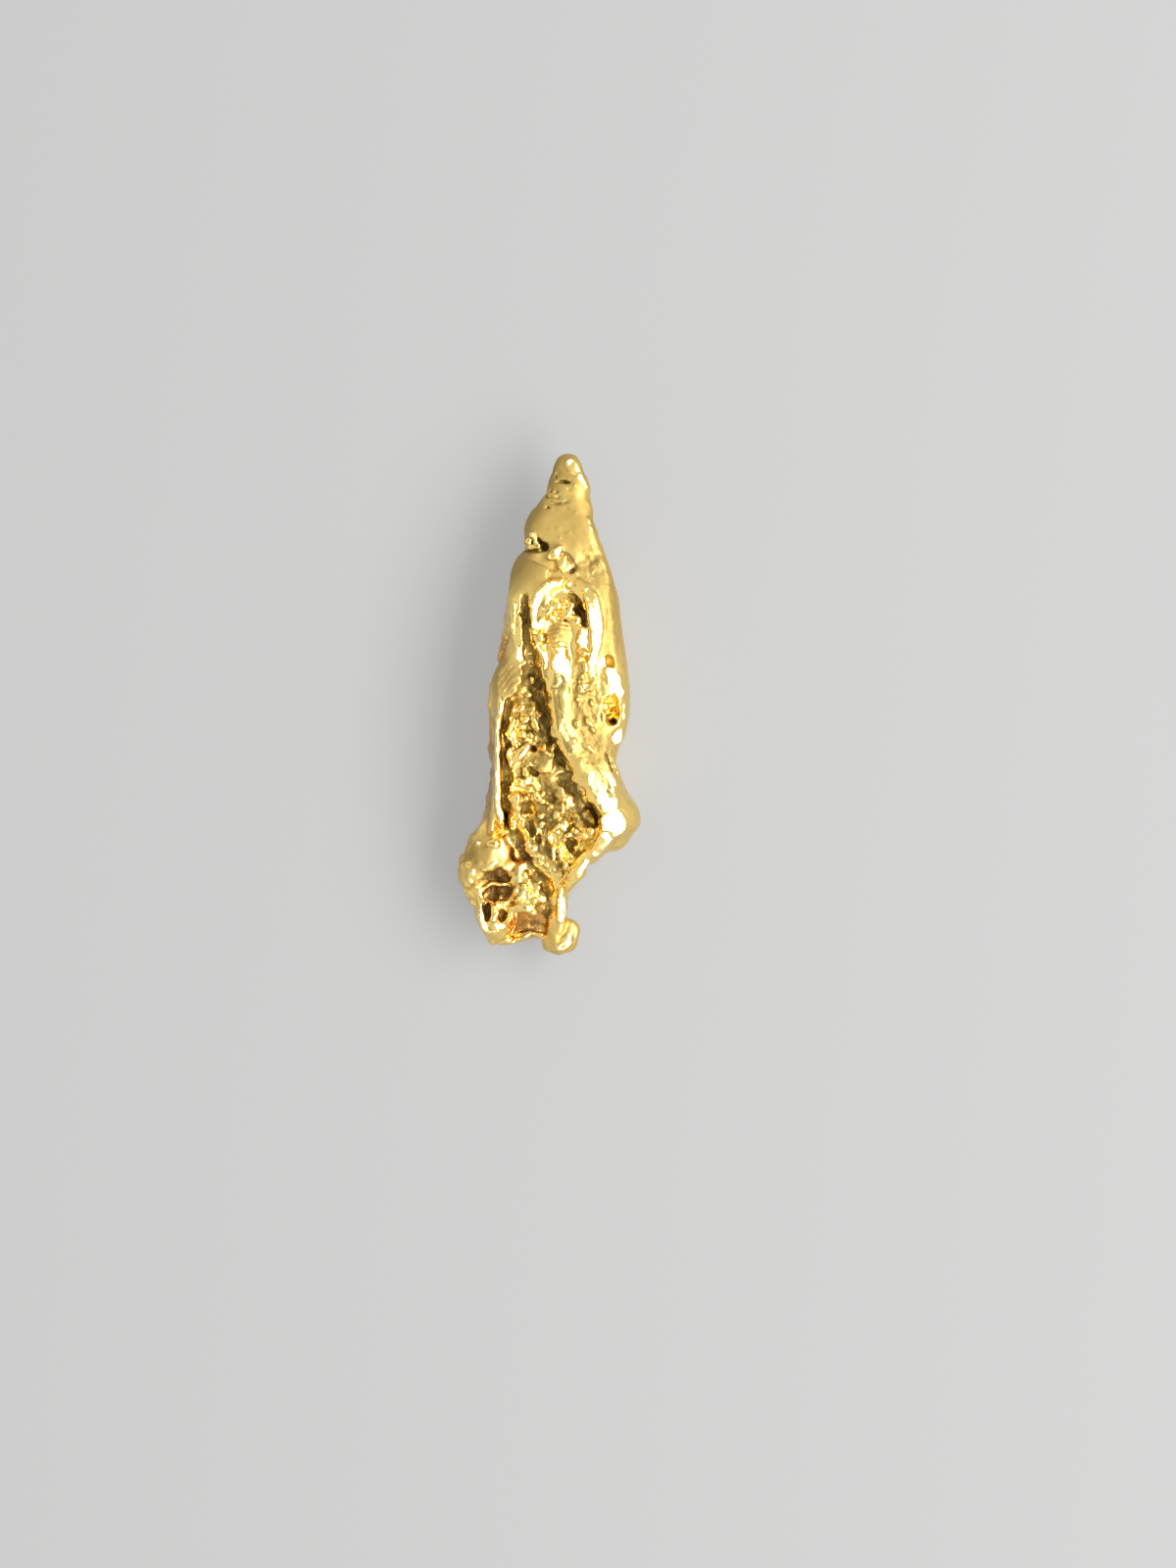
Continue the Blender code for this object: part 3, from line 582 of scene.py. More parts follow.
# Grains on the floor of the recess: x, y, half width, half length, turn in degrees
RECESS_GRAINS = (
    (-0.70, -0.10, 0.09, 0.11, 0), (-0.84, -0.55, 0.07, 0.28, -12), (-0.52, -0.30, 0.06, 0.09, 0),
    (-0.33, -0.45, 0.07, 0.18, 28), (-0.70, -1.10, 0.16, 0.13, 30), (-0.56, -0.92, 0.09, 0.13, 0),
    (-0.15, -0.95, 0.05, 0.12, 0), (0.07, -0.95, 0.055, 0.13, -28), (-0.62, -0.62, 0.10, 0.10, 0),
    (-0.80, -0.90, 0.08, 0.09, 0), (0.03, -1.15, 0.05, 0.09, 0), (-0.60, -1.50, 0.09, 0.12, 0),
    (-0.72, -1.72, 0.10, 0.12, 0), (-0.50, -1.85, 0.12, 0.10, 0), (-0.30, -1.75, 0.08, 0.10, 30),
    (-0.76, -2.12, 0.06, 0.15, 0), (-0.55, -2.08, 0.06, 0.10, 0), (-0.31, -2.08, 0.08, 0.13, 0),
    (-0.19, -2.18, 0.08, 0.09, 0), (0.27, -2.32, 0.07, 0.18, 0), (-0.84, -2.65, 0.09, 0.24, 10),
    (-0.64, -2.68, 0.05, 0.13, -24), (-0.22, -2.52, 0.08, 0.08, 0), (-0.20, -2.75, 0.06, 0.07, 0),
    (0.17, -2.78, 0.09, 0.13, -30), (0.35, -2.66, 0.13, 0.12, 0), (0.02, -3.02, 0.07, 0.24, 4),
    (0.06, -3.40, 0.06, 0.17, 0), (0.22, -3.38, 0.07, 0.22, 6), (0.55, -2.85, 0.09, 0.11, 0),
    (0.72, -2.92, 0.09, 0.09, 0), (0.88, -2.85, 0.08, 0.12, 0), (0.10, -2.50, 0.10, 0.10, 0),
    (0.62, -3.25, 0.09, 0.12, 30), (-0.05, -2.32, 0.08, 0.10, 0), (0.42, -2.95, 0.09, 0.09, 0),
    (0.35, -3.60, 0.09, 0.14, 0), (-0.42, 0.58, 0.09, 0.11, 0), (-0.52, 0.25, 0.09, 0.12, 20),
    (-0.22, -1.95, 0.07, 0.09, 0), (-0.62, -0.32, 0.06, 0.10, 30), (-0.45, -0.62, 0.08, 0.08, 0),
)

# Pools in the floor of the recess: x, y, z, three half sizes, turn in degrees
RECESS_POOLS = (
    (-0.78, 0.16, 2.34, 0.24, 0.14, 0.36, 12), (-0.45, -0.58, 2.20, 0.10, 0.12, 0.24, 0),
    (0.88, -2.46, 2.10, 0.23, 0.34, 0.46, 32), (-0.52, -2.36, 2.08, 0.15, 0.22, 0.32, 6),
    (-0.46, -2.78, 2.00, 0.12, 0.28, 0.32, 8), (-0.26, -3.10, 1.94, 0.12, 0.24, 0.32, 14),
    (-0.56, -3.42, 1.86, 0.18, 0.14, 0.28, -10), (0.50, -3.20, 1.98, 0.13, 0.26, 0.32, 38),
    (-0.44, -1.45, 2.14, 0.18, 0.08, 0.30, -22), (-0.36, -1.02, 2.14, 0.07, 0.20, 0.32, 6),
    (-0.02, -2.08, 2.06, 0.10, 0.16, 0.26, 20), (-0.18, -1.80, 2.10, 0.08, 0.18, 0.26, 40),
)


def recess_floor(metal):
    # the furrow inside the left rim, down to the stalk, and the furrow below the crest
    metal.groove([
        (-0.94, 0.10, 2.20, 0.09), (-0.98, -0.50, 2.12, 0.09), (-0.99, -1.20, 2.10, 0.07),
        (-0.97, -1.90, 2.04, 0.10), (-0.94, -2.50, 1.96, 0.11), (-0.78, -3.05, 1.86, 0.12),
        (-0.50, -3.55, 1.74, 0.13), (-0.22, -4.05, 1.56, 0.11), (-0.09, -4.70, 1.40, 0.07),
    ], tall=1.7, blend=0.06, ragged=0.08)
    metal.groove([
        (-0.36, 0.45, 2.24, 0.20), (-0.22, 0.05, 2.20, 0.17), (-0.10, -0.35, 2.18, 0.15),
        (0.00, -0.75, 2.16, 0.14), (0.14, -1.20, 2.14, 0.16), (0.32, -1.60, 2.12, 0.17),
        (0.50, -1.98, 2.12, 0.18), (0.68, -2.28, 2.10, 0.17),
    ], tall=1.7, blend=0.16, ragged=0.10)
    for x, y, z, wide, long, deep, turn in RECESS_POOLS:
        metal.hollow((x, y, z), (wide, long, deep), turn, blend=0.05, ragged=0.07)
    for x, y, wide, long, turn in RECESS_GRAINS:
        metal.lump((x, y, metal.top_at(x, y) + 0.03), (wide, long, 0.55 * (wide + long)), turn, blend=0.035)
    # a flat splash of metal, and two grains that lie in pits
    metal.lump((-0.20, -1.28, 1.96), (0.28, 0.20, 0.12), -30, blend=0.05)
    metal.lump((0.87, -2.53, 1.78), (0.14, 0.21, 0.14), 32, blend=0.03)
    metal.hollow((-0.46, -3.20, 1.98), (0.22, 0.22, 0.24), 20, blend=0.04)
    metal.lump((-0.43, -3.24, 1.74), (0.17, 0.15, 0.14), 20, blend=0.03)
    metal.lump((-0.54, -3.16, 1.80), (0.07, 0.08, 0.09), blend=0.03)


def cup_hollow(metal):
    for x, y, z, wide, long, deep, turn in (
        (-1.28, -3.98, 2.02, 0.42, 0.30, 0.66, 8), (-1.34, -4.24, 1.92, 0.32, 0.28, 0.64, 0),
        (-1.04, -4.22, 1.90, 0.22, 0.28, 0.52, 8), (-1.46, -4.60, 1.82, 0.15, 0.28, 0.52, 4),
        (-1.10, -4.52, 1.80, 0.10, 0.16, 0.38, 0),
        (-1.08, -4.80, 1.70, 0.09, 0.20, 0.36, -14), (-0.52, -4.32, 1.90, 0.05, 0.12, 0.30, 0),
        (-0.36, -4.24, 1.84, 0.05, 0.10, 0.26, 20),
    ):
        metal.hollow((x, y, z), (wide, long, deep), turn, blend=0.05, ragged=0.09)
    # the shelf across it, its raised edges, and the grains in it
    metal.ridge([
        (-1.62, -4.14, 1.48, 0.055), (-1.38, -4.06, 1.46, 0.06), (-1.06, -4.05, 1.42, 0.05),
    ], 2.2, 0.03)
    metal.ridge([
        (-1.63, -4.26, 1.50, 0.08), (-1.61, -4.65, 1.50, 0.07), (-1.54, -4.95, 1.44, 0.08),
        (-1.40, -5.09, 1.40, 0.08), (-1.26, -5.10, 1.36, 0.07),
    ], tall=1.8, blend=0.04)
    metal.ridge([
        (-0.88, -4.62, 1.50, 0.07), (-0.94, -4.85, 1.44, 0.075), (-1.04, -5.00, 1.36, 0.07),
    ], 1.6, 0.04)
    metal.ridge([
        (-0.88, -4.60, 1.54, 0.07), (-0.62, -4.57, 1.58, 0.07), (-0.38, -4.62, 1.54, 0.08),
    ], 1.2, 0.04)
    metal.ridge([
        (-1.20, -3.50, 1.86, 0.06), (-1.44, -3.66, 1.82, 0.08), (-1.64, -3.90, 1.70, 0.06),
    ], 1.2, 0.04)
    metal.ridge([
        (-1.18, -4.40, 1.34, 0.05), (-1.21, -4.62, 1.40, 0.06), (-1.29, -4.84, 1.38, 0.08),
    ], 1.6, 0.04)
    for x, y, z, wide, long, turn in (
        (-1.33, -3.12, 1.90, 0.17, 0.10, -14), (-1.65, -3.10, 1.70, 0.07, 0.07, 0),
        (-1.90, -3.62, 1.62, 0.11, 0.12, 0), (-1.77, -3.80, 1.70, 0.12, 0.10, 30),
        (-1.84, -3.97, 1.62, 0.10, 0.09, 0), (-1.97, -3.44, 1.44, 0.09, 0.12, 0),
        (-1.86, -4.27, 1.36, 0.10, 0.06, 0), (-1.90, -4.12, 1.34, 0.09, 0.10, 0),
        (-1.80, -4.42, 1.30, 0.09, 0.09, 0), (-0.60, -4.12, 1.68, 0.10, 0.07, 0),
        (-0.36, -4.43, 1.64, 0.09, 0.08, 0), (-0.22, -4.36, 1.56, 0.07, 0.09, 0),
        (-0.72, -4.40, 1.66, 0.11, 0.08, 0), (-0.50, -4.28, 1.66, 0.07, 0.08, 0),
        (-0.30, -4.12, 1.60, 0.06, 0.10, 0), (-0.82, -4.20, 1.60, 0.09, 0.10, 0),
        (-0.62, -4.33, 1.66, 0.07, 0.06, 0), (-0.74, -3.98, 1.64, 0.08, 0.07, 0),
        (-0.46, -4.00, 1.62, 0.07, 0.08, 0), (-0.90, -4.02, 1.58, 0.07, 0.07, 0),
        (-0.56, -3.84, 1.62, 0.06, 0.09, 0), (-1.00, -4.46, 1.50, 0.08, 0.06, 0),
        (-1.52, -4.44, 1.40, 0.06, 0.08, 0),
    ):
        metal.lump((x, y, z), (wide, long, 1.2 * min(wide, long)), turn, blend=0.035)
    # the lip of the web, and the dark hole over it
    metal.lump((-0.30, -5.08, 0.84), (0.24, 0.24, 0.20), blend=0.05)
    metal.hollow((-0.60, -4.90, 1.32), (0.36, 0.18, 0.22), 4, blend=0.05)
    metal.lump((-0.60, -4.98, 0.86), (0.44, 0.36, 0.22), blend=0.06)
    metal.ridge([
        (-0.86, -4.78, 1.08, 0.03), (-0.60, -4.84, 1.12, 0.04), (-0.34, -4.90, 1.08, 0.03),
    ], 1.0, 0.05)
    metal.ridge([
        (-1.12, -5.33, 0.98, 0.12), (-0.90, -5.36, 1.02, 0.09), (-0.68, -5.26, 1.04, 0.08),
        (-0.42, -5.20, 1.02, 0.08), (-0.20, -5.28, 0.97, 0.10),
    ], tall=1.6, blend=0.04)
    metal.lump((-0.84, -5.14, 0.82), (0.30, 0.26, 0.20), blend=0.05)
    metal.hollow((-0.84, -5.29, 1.24), (0.14, 0.05, 0.18), 22, blend=0.03)


def ear(metal):
    for x, y, z, wide, long, deep, turn in (
        (1.34, 0.10, 2.32, 0.18, 0.16, 0.28, 30), (1.42, -0.10, 2.30, 0.16, 0.22, 0.34, -20),
        (1.33, -0.26, 2.28, 0.13, 0.22, 0.30, 10), (1.27, -0.02, 2.34, 0.10, 0.18, 0.22, 0),
    ):
        metal.hollow((x, y, z), (wide, long, deep), turn, blend=0.04, ragged=0.10)
    metal.hollow((1.40, -0.38, 2.20), (0.09, 0.09, 0.42), 6, blend=0.03)
    metal.hollow((1.34, 0.96, 2.36), (0.11, 0.16, 0.20), blend=0.04, ragged=0.07)
    for x, y, wide, long in (
        (1.30, 0.12, 0.09, 0.06), (1.44, 0.04, 0.06, 0.10), (1.30, -0.14, 0.06, 0.10),
        (1.42, -0.18, 0.07, 0.05), (1.35, 0.22, 0.08, 0.05), (1.36, -0.02, 0.05, 0.05),
        (1.47, -0.28, 0.05, 0.06),
    ):
        metal.lump((x, y, metal.top_at(x, y)), (wide, long, 0.09), blend=0.03)
    metal.ridge([
        (1.17, -0.12, 2.24, 0.03), (1.20, -0.32, 2.23, 0.035), (1.26, -0.50, 2.20, 0.03),
    ], 1.4, 0.03)
    metal.groove([
        (1.13, -0.14, 2.38, 0.012), (1.16, -0.34, 2.38, 0.016), (1.20, -0.46, 2.36, 0.012),
    ], 4.0, 0.02)
    metal.groove([
        (1.22, -1.10, 2.24, 0.025), (1.30, -1.30, 2.22, 0.04), (1.38, -1.50, 2.18, 0.02),
    ], 3.0, 0.02)


def tip_and_head_marks(metal):
    # the slit on the tip, the pits and the folds below it
    metal.hollow((0.30, 5.06, metal.top_at(0.30, 5.06)), (0.14, 0.038, 0.16), -8, blend=0.012)
    metal.hollow((0.15, 5.06, metal.top_at(0.15, 5.06)), (0.05, 0.03, 0.06), blend=0.012)
    for x, y, wide, long, turn in (
        (0.02, 4.84, 0.030, 0.045, 0), (0.13, 4.83, 0.045, 0.025, 30), (-0.09, 4.72, 0.05, 0.04, 30),
        (-0.06, 4.47, 0.055, 0.03, 0), (0.12, 5.18, 0.03, 0.04, 0), (0.02, 4.70, 0.06, 0.02, 0),
        (0.16, 4.70, 0.06, 0.018, 0), (0.14, 4.57, 0.16, 0.022, -6), (0.34, 4.60, 0.08, 0.02, 16),
    ):
        metal.hollow((x, y, metal.top_at(x, y)), (wide, long, 0.06), turn, blend=0.015)
    metal.lump((0.10, 5.27, metal.top_at(0.10, 5.27) - 0.01), (0.05, 0.04, 0.05), blend=0.02)
    metal.lump((0.55, 4.98, metal.top_at(0.55, 4.98) - 0.01), (0.05, 0.02, 0.04), blend=0.02)
    # the notch under the head, its wedge-shaped pit and its grains
    metal.groove([
        (-0.72, 3.52, 1.66, 0.07), (-0.46, 3.52, 1.96, 0.06), (-0.10, 3.50, 2.16, 0.03),
    ], 2.0, 0.03)
    metal.hollow((-0.24, 3.71, 2.10), (0.05, 0.12, 0.30), 36, blend=0.02)
    metal.hollow((-0.15, 3.59, 2.12), (0.10, 0.11, 0.32), 20, blend=0.03)
    metal.groove([(-0.40, 3.78, 2.02, 0.03), (-0.42, 3.62, 1.96, 0.03)], 3.0, 0.02)
    for x, y, z, wide, long, turn in (
        (-0.43, 3.85, 1.98, 0.07, 0.07, 0), (-0.52, 3.71, 1.84, 0.08, 0.08, 0),
        (-0.34, 3.68, 1.98, 0.05, 0.13, 16), (-0.47, 3.58, 1.88, 0.12, 0.06, 0),
    ):
        metal.lump((x, y, z), (wide, long, 0.12), turn, blend=0.02)
    # the grain in the middle, with a crescent pit round a small mound
    metal.hollow((0.33, 3.20, 2.38), (0.24, 0.28, 0.20), -20, blend=0.05)
    metal.lump((0.24, 3.20, 2.06), (0.16, 0.20, 0.18), -20, blend=0.04)
    metal.lump((0.07, 3.39, 2.17), (0.16, 0.11, 0.13), 35, blend=0.025)
    metal.lump((0.19, 3.55, 2.18), (0.09, 0.08, 0.10), blend=0.03)
    metal.groove([
        (0.25, 3.49, 2.26, 0.025), (0.40, 3.38, 2.24, 0.045), (0.52, 3.14, 2.20, 0.055),
        (0.44, 3.02, 2.18, 0.055),
    ], 3.2, 0.025)
    metal.lump((0.31, 3.33, 2.19), (0.05, 0.06, 0.07), blend=0.02)
    metal.lump((0.20, 3.09, 2.20), (0.09, 0.04, 0.07), 10, blend=0.02)
    metal.hollow((0.24, 3.01, 2.32), (0.05, 0.035, 0.12), blend=0.015)
    for x, y, wide, long, turn in (
        (0.88, 4.20, 0.03, 0.08, 12), (0.92, 4.02, 0.03, 0.09, 20), (0.40, 3.88, 0.05, 0.025, 20),
        (0.17, 4.00, 0.05, 0.025, 0), (0.20, 3.78, 0.04, 0.025, 0), (0.86, 4.12, 0.02, 0.05, 10),
        (0.55, 4.36, 0.03, 0.02, 0),
    ):
        metal.lump((x, y, metal.top_at(x, y) - 0.005), (wide, long, 0.03), turn, blend=0.02)


# Worn flats that shine: how far the normal leans along x and y, how far above the gold, and a route of
# (x, y, half width). A lean of 0.36 along x shines most, and one of 0.25 about half as much.
SHINING_FLATS = (
    # tip, head and the grain in the middle
    (0.36, 0.04, 0.03, ((0.44, 5.48, 0.11), (0.52, 5.38, 0.12), (0.62, 5.28, 0.07))),
    (0.36, 0.04, 0.02, ((0.66, 5.20, 0.05), (0.75, 5.06, 0.05), (0.80, 4.96, 0.035))),
    (0.36, -0.05, 0.01, ((0.00, 3.35, 0.07), (0.09, 3.42, 0.09), (0.19, 3.52, 0.055))),
    (0.36, -0.05, 0.00, ((-0.34, 3.74, 0.03), (-0.31, 3.60, 0.045))),
    # mouth
    (0.36, -0.03, 0.02, (
        (-0.81, 2.26, 0.09), (-0.83, 1.92, 0.08), (-0.80, 1.60, 0.08), (-0.73, 1.30, 0.085),
        (-0.68, 1.06, 0.08),
    )),
    (0.36, -0.06, 0.03, (
        (-0.36, 1.76, 0.06), (-0.37, 2.05, 0.09), (-0.30, 2.35, 0.12), (-0.17, 2.56, 0.12),
        (0.02, 2.70, 0.10),
    )),
    (0.36, -0.10, 0.00, ((0.26, 2.74, 0.09), (0.38, 2.70, 0.07))),
    (0.36, -0.03, 0.02, (
        (0.80, 2.56, 0.08), (0.90, 2.36, 0.14), (0.98, 2.05, 0.17), (1.02, 1.75, 0.16), (1.02, 1.45, 0.13),
        (0.98, 1.20, 0.10), (0.93, 0.95, 0.08), (0.90, 0.62, 0.055),
    )),
    (0.36, -0.03, 0.03, ((0.76, 1.64, 0.12), (0.74, 1.40, 0.135))),
    (0.23, 0.00, 0.00, ((0.20, 1.20, 0.15), (0.21, 0.80, 0.18), (0.16, 0.42, 0.11))),
    (0.36, 0.00, 0.02, ((0.19, 1.02, 0.15), (0.19, 0.88, 0.16))),
    (0.36, 0.00, 0.01, ((0.34, 0.74, 0.08), (0.34, 0.60, 0.08))),
    (0.21, 0.00, 0.00, (
        (0.12, 0.30, 0.08), (0.14, 0.00, 0.09), (0.21, -0.40, 0.09), (0.33, -0.80, 0.07),
        (0.46, -1.08, 0.04),
    )),
    (0.36, 0.00, 0.01, ((0.70, 0.38, 0.09), (0.80, 0.44, 0.07))),
    # ear
    (0.36, -0.03, 0.01, ((1.16, 0.92, 0.06), (1.20, 1.00, 0.05))),
    (0.36, -0.03, 0.02, ((1.33, 0.74, 0.11), (1.43, 0.54, 0.17), (1.55, 0.32, 0.12))),
    (0.36, -0.03, 0.01, ((1.63, 0.00, 0.045), (1.63, -0.30, 0.05))),
    (0.36, -0.06, 0.01, ((1.55, -0.58, 0.07), (1.48, -0.76, 0.12))),
    (0.36, 0.05, 0.02, (
        (1.32, -1.02, 0.035), (1.43, -1.34, 0.035), (1.51, -1.56, 0.04), (1.60, -1.74, 0.035),
    )),
    # left rim
    (0.36, -0.02, 0.00, ((-1.12, 0.16, 0.06), (-1.14, -0.16, 0.06))),
    (0.36, -0.02, 0.00, (
        (-1.19, -0.32, 0.055), (-1.20, -0.80, 0.06), (-1.19, -1.30, 0.055), (-1.19, -1.90, 0.065),
        (-1.18, -2.30, 0.07), (-1.12, -2.56, 0.06),
    )),
    # right corner, lower edge, stalk and foot
    (0.28, -0.04, 0.00, ((1.30, -2.28, 0.20),)),
    (0.36, -0.05, 0.00, ((1.42, -2.68, 0.30),)),
    (0.36, -0.06, 0.00, ((1.24, -3.02, 0.15), (0.98, -3.33, 0.10))),
    (0.34, -0.10, 0.00, (
        (0.80, -3.54, 0.07), (0.64, -3.74, 0.09), (0.52, -3.87, 0.12), (0.38, -4.02, 0.06),
    )),
    (0.36, 0.00, 0.00, ((0.23, -4.16, 0.08), (0.23, -4.50, 0.085), (0.21, -4.88, 0.06))),
    (0.36, -0.04, 0.03, ((0.20, -5.50, 0.09), (0.33, -5.40, 0.12), (0.41, -5.26, 0.07))),
    (0.36, 0.00, 0.00, ((0.52, -5.36, 0.035), (0.55, -5.18, 0.035))),
    (0.36, 0.00, 0.05, ((-1.87, -3.60, 0.07),)),
    (0.36, 0.00, 0.05, ((-1.76, -3.79, 0.09), (-1.82, -3.95, 0.07))),
    # cup
    (0.34, -0.05, 0.01, ((-1.37, -3.12, 0.075), (-1.25, -3.13, 0.07))),
    (0.34, -0.10, 0.01, ((-1.50, -3.70, 0.05), (-1.27, -3.55, 0.045))),
    (0.34, 0.00, 0.00, (
        (-1.61, -4.34, 0.05), (-1.61, -4.62, 0.045), (-1.55, -4.90, 0.05), (-1.45, -5.05, 0.06),
        (-1.30, -5.08, 0.05),
    )),
    (0.34, 0.00, 0.00, ((-0.90, -4.68, 0.04), (-0.95, -4.86, 0.045))),
    (0.34, 0.00, 0.00, ((-0.78, -4.57, 0.045), (-0.60, -4.58, 0.05), (-0.44, -4.62, 0.05))),
    # right flank
    (0.34, 0.00, 0.01, ((0.90, -1.58, 0.08), (0.88, -1.74, 0.06))),
    (0.34, 0.00, 0.01, ((1.14, -1.96, 0.07),)),
)

# Grains that shine, as routes of (x, y, half width)
SHINING_GRAINS = (
    # mouth
    ((-0.12, 2.04, 0.075), (-0.01, 2.14, 0.075)), ((0.17, 2.23, 0.075),),
    ((0.33, 2.01, 0.075), (0.42, 2.07, 0.075)), ((0.46, 2.23, 0.065),), ((0.59, 1.89, 0.09),),
    ((0.30, 2.17, 0.05),), ((-0.23, 1.56, 0.06), (-0.21, 1.48, 0.055)), ((-0.38, 1.64, 0.04),),
    ((0.78, 0.90, 0.06), (0.79, 0.80, 0.06)), ((0.45, 1.96, 0.04),),
    ((0.67, 1.18, 0.05), (0.76, 1.16, 0.05)),
    # recess
    ((-0.73, -0.11, 0.055), (-0.64, -0.06, 0.055)),
    ((-0.89, -0.34, 0.04), (-0.85, -0.58, 0.045), (-0.80, -0.82, 0.045)),
    ((-0.40, -0.30, 0.04), (-0.29, -0.52, 0.045)), ((-0.51, -0.30, 0.035),),
    ((-0.76, -1.20, 0.085), (-0.54, -0.96, 0.07)), ((0.08, -0.88, 0.035), (0.03, -1.02, 0.035)),
    ((-0.18, -1.00, 0.035),), ((-0.53, -1.72, 0.065),), ((-0.64, -1.86, 0.05),),
    ((-0.75, -2.02, 0.04), (-0.74, -2.18, 0.04)), ((-0.32, -2.00, 0.05), (-0.31, -2.12, 0.05)),
    ((-0.18, -2.18, 0.055),), ((-0.55, -2.10, 0.04),), ((0.27, -2.24, 0.05), (0.28, -2.40, 0.045)),
    ((-0.21, -2.52, 0.055),), ((-0.20, -2.74, 0.04),), ((-0.86, -2.54, 0.05), (-0.83, -2.78, 0.05)),
    ((0.00, -2.88, 0.04), (0.02, -3.10, 0.04)), ((0.15, -2.86, 0.05),), ((0.30, -2.76, 0.08),),
    ((0.44, -2.66, 0.05),), ((0.06, -3.22, 0.04), (0.06, -3.46, 0.04)),
    ((0.20, -3.22, 0.045), (0.23, -3.44, 0.045)), ((0.56, -2.86, 0.05),), ((0.73, -2.91, 0.045),),
    ((0.90, -2.88, 0.045),), ((-0.55, -3.14, 0.04),), ((-0.42, 0.60, 0.045),), ((-0.60, -1.45, 0.045),),
    ((0.10, -2.52, 0.045),), ((-0.05, -2.34, 0.04),),
    # head
    ((-0.43, 3.85, 0.05),), ((-0.51, 3.71, 0.055),), ((-0.47, 3.58, 0.045), (-0.40, 3.57, 0.03)),
    ((0.85, 4.20, 0.018), (0.90, 4.12, 0.020)), ((0.87, 4.03, 0.018), (0.94, 3.95, 0.018)),
    ((0.55, 4.98, 0.02),), ((0.30, 3.33, 0.035),), ((0.20, 3.09, 0.03),),
    # right flank
    ((0.60, -0.42, 0.05),), ((0.86, -0.36, 0.035), (0.98, -0.52, 0.03)), ((0.98, 0.02, 0.035),),
    ((0.52, -0.82, 0.06),), ((0.78, -0.90, 0.05), (0.96, -1.05, 0.04)), ((0.66, 0.12, 0.04),),
    ((1.08, -1.40, 0.035), (1.20, -1.60, 0.035)), ((0.70, -1.25, 0.04),),
    ((1.32, -1.95, 0.03), (1.44, -2.05, 0.03)),
    # cup
    ((-1.66, -3.11, 0.04),), ((-1.85, -4.27, 0.04),), ((-1.20, -4.48, 0.035), (-1.21, -4.66, 0.04)),
    ((-1.30, -4.84, 0.065),), ((-0.60, -4.10, 0.06),), ((-0.37, -4.42, 0.06),), ((-0.23, -4.35, 0.045),),
    ((-0.72, -4.38, 0.06),), ((-0.80, -4.20, 0.05),), ((-0.52, -4.27, 0.04),), ((-0.30, -4.13, 0.035),),
)

# Flats that are satin, with the values that the shining ones have
SATIN_FLATS = (
    (0.06, -0.04, 0.00, ((-0.40, -1.16, 0.10), (-0.20, -1.28, 0.15), (-0.04, -1.42, 0.09))),
    (-0.24, 0.02, 0.03, ((-0.86, 0.84, 0.18), (-0.94, 0.60, 0.26), (-1.00, 0.36, 0.20))),
)

SHINING_ROUTES = [route for _, _, _, route in SHINING_FLATS] + list(SHINING_GRAINS)

# A worn grain: its half width for its bright top's, its height and lift for its own half width, and its lean
GRAIN_WIDTH = 1.35
GRAIN_HEIGHT = 0.72
GRAIN_LIFT = 0.15
GRAIN_LEAN = -21

# Flats that lean more than this along x have a crisp edge, and the others a soft one
CRISP_LEAN = 0.3
CRISP_EDGE = 0.035
SOFT_EDGE = 0.08


def worn_grain(metal, route):
    """A grain with a low round top that leans to the light, on the gold under the ends of a route."""
    one, two = sorted((route[0], route[-1]), key=lambda end: end[1])
    half = GRAIN_WIDTH * max(one[2], two[2])
    long = half + 0.5 * math.dist(one[:2], two[:2])
    turn = math.degrees(math.atan2(one[0] - two[0], two[1] - one[1])) if long > half else 0
    x, y = (one[0] + two[0]) / 2, (one[1] + two[1]) / 2
    centre = (x, y, metal.top_at(x, y) + GRAIN_LIFT * half)
    metal.lump(centre, (half, long, GRAIN_HEIGHT * half), turn, GRAIN_LEAN, blend=0.025)


def worn_flats(metal):
    for across, along, lift, route in SATIN_FLATS + SHINING_FLATS:
        edge = CRISP_EDGE if across > CRISP_LEAN else SOFT_EDGE
        metal.flat(route, (across, along, math.sqrt(1 - across**2 - along**2)), lift, edge)
    for route in SHINING_GRAINS:
        worn_grain(metal, route)


def underside(metal):
    for centre, radii, turn in (
        ((0.10, 1.60, 0.62), (0.95, 1.10, 0.66), 12), ((0.35, -0.55, 0.62), (1.00, 1.30, 0.68), -18),
        ((0.20, -2.10, 0.66), (0.90, 0.70, 0.62), 30), ((-0.55, 0.40, 0.80), (0.55, 0.80, 0.62), -10),
        ((0.25, 3.20, 0.92), (0.60, 0.70, 0.52), 0), ((1.25, -2.30, 0.95), (0.55, 0.50, 0.50), 0),
        ((-1.40, -3.75, 0.95), (0.45, 0.60, 0.45), 0),
    ):
        metal.lump(centre, radii, turn, blend=0.1)


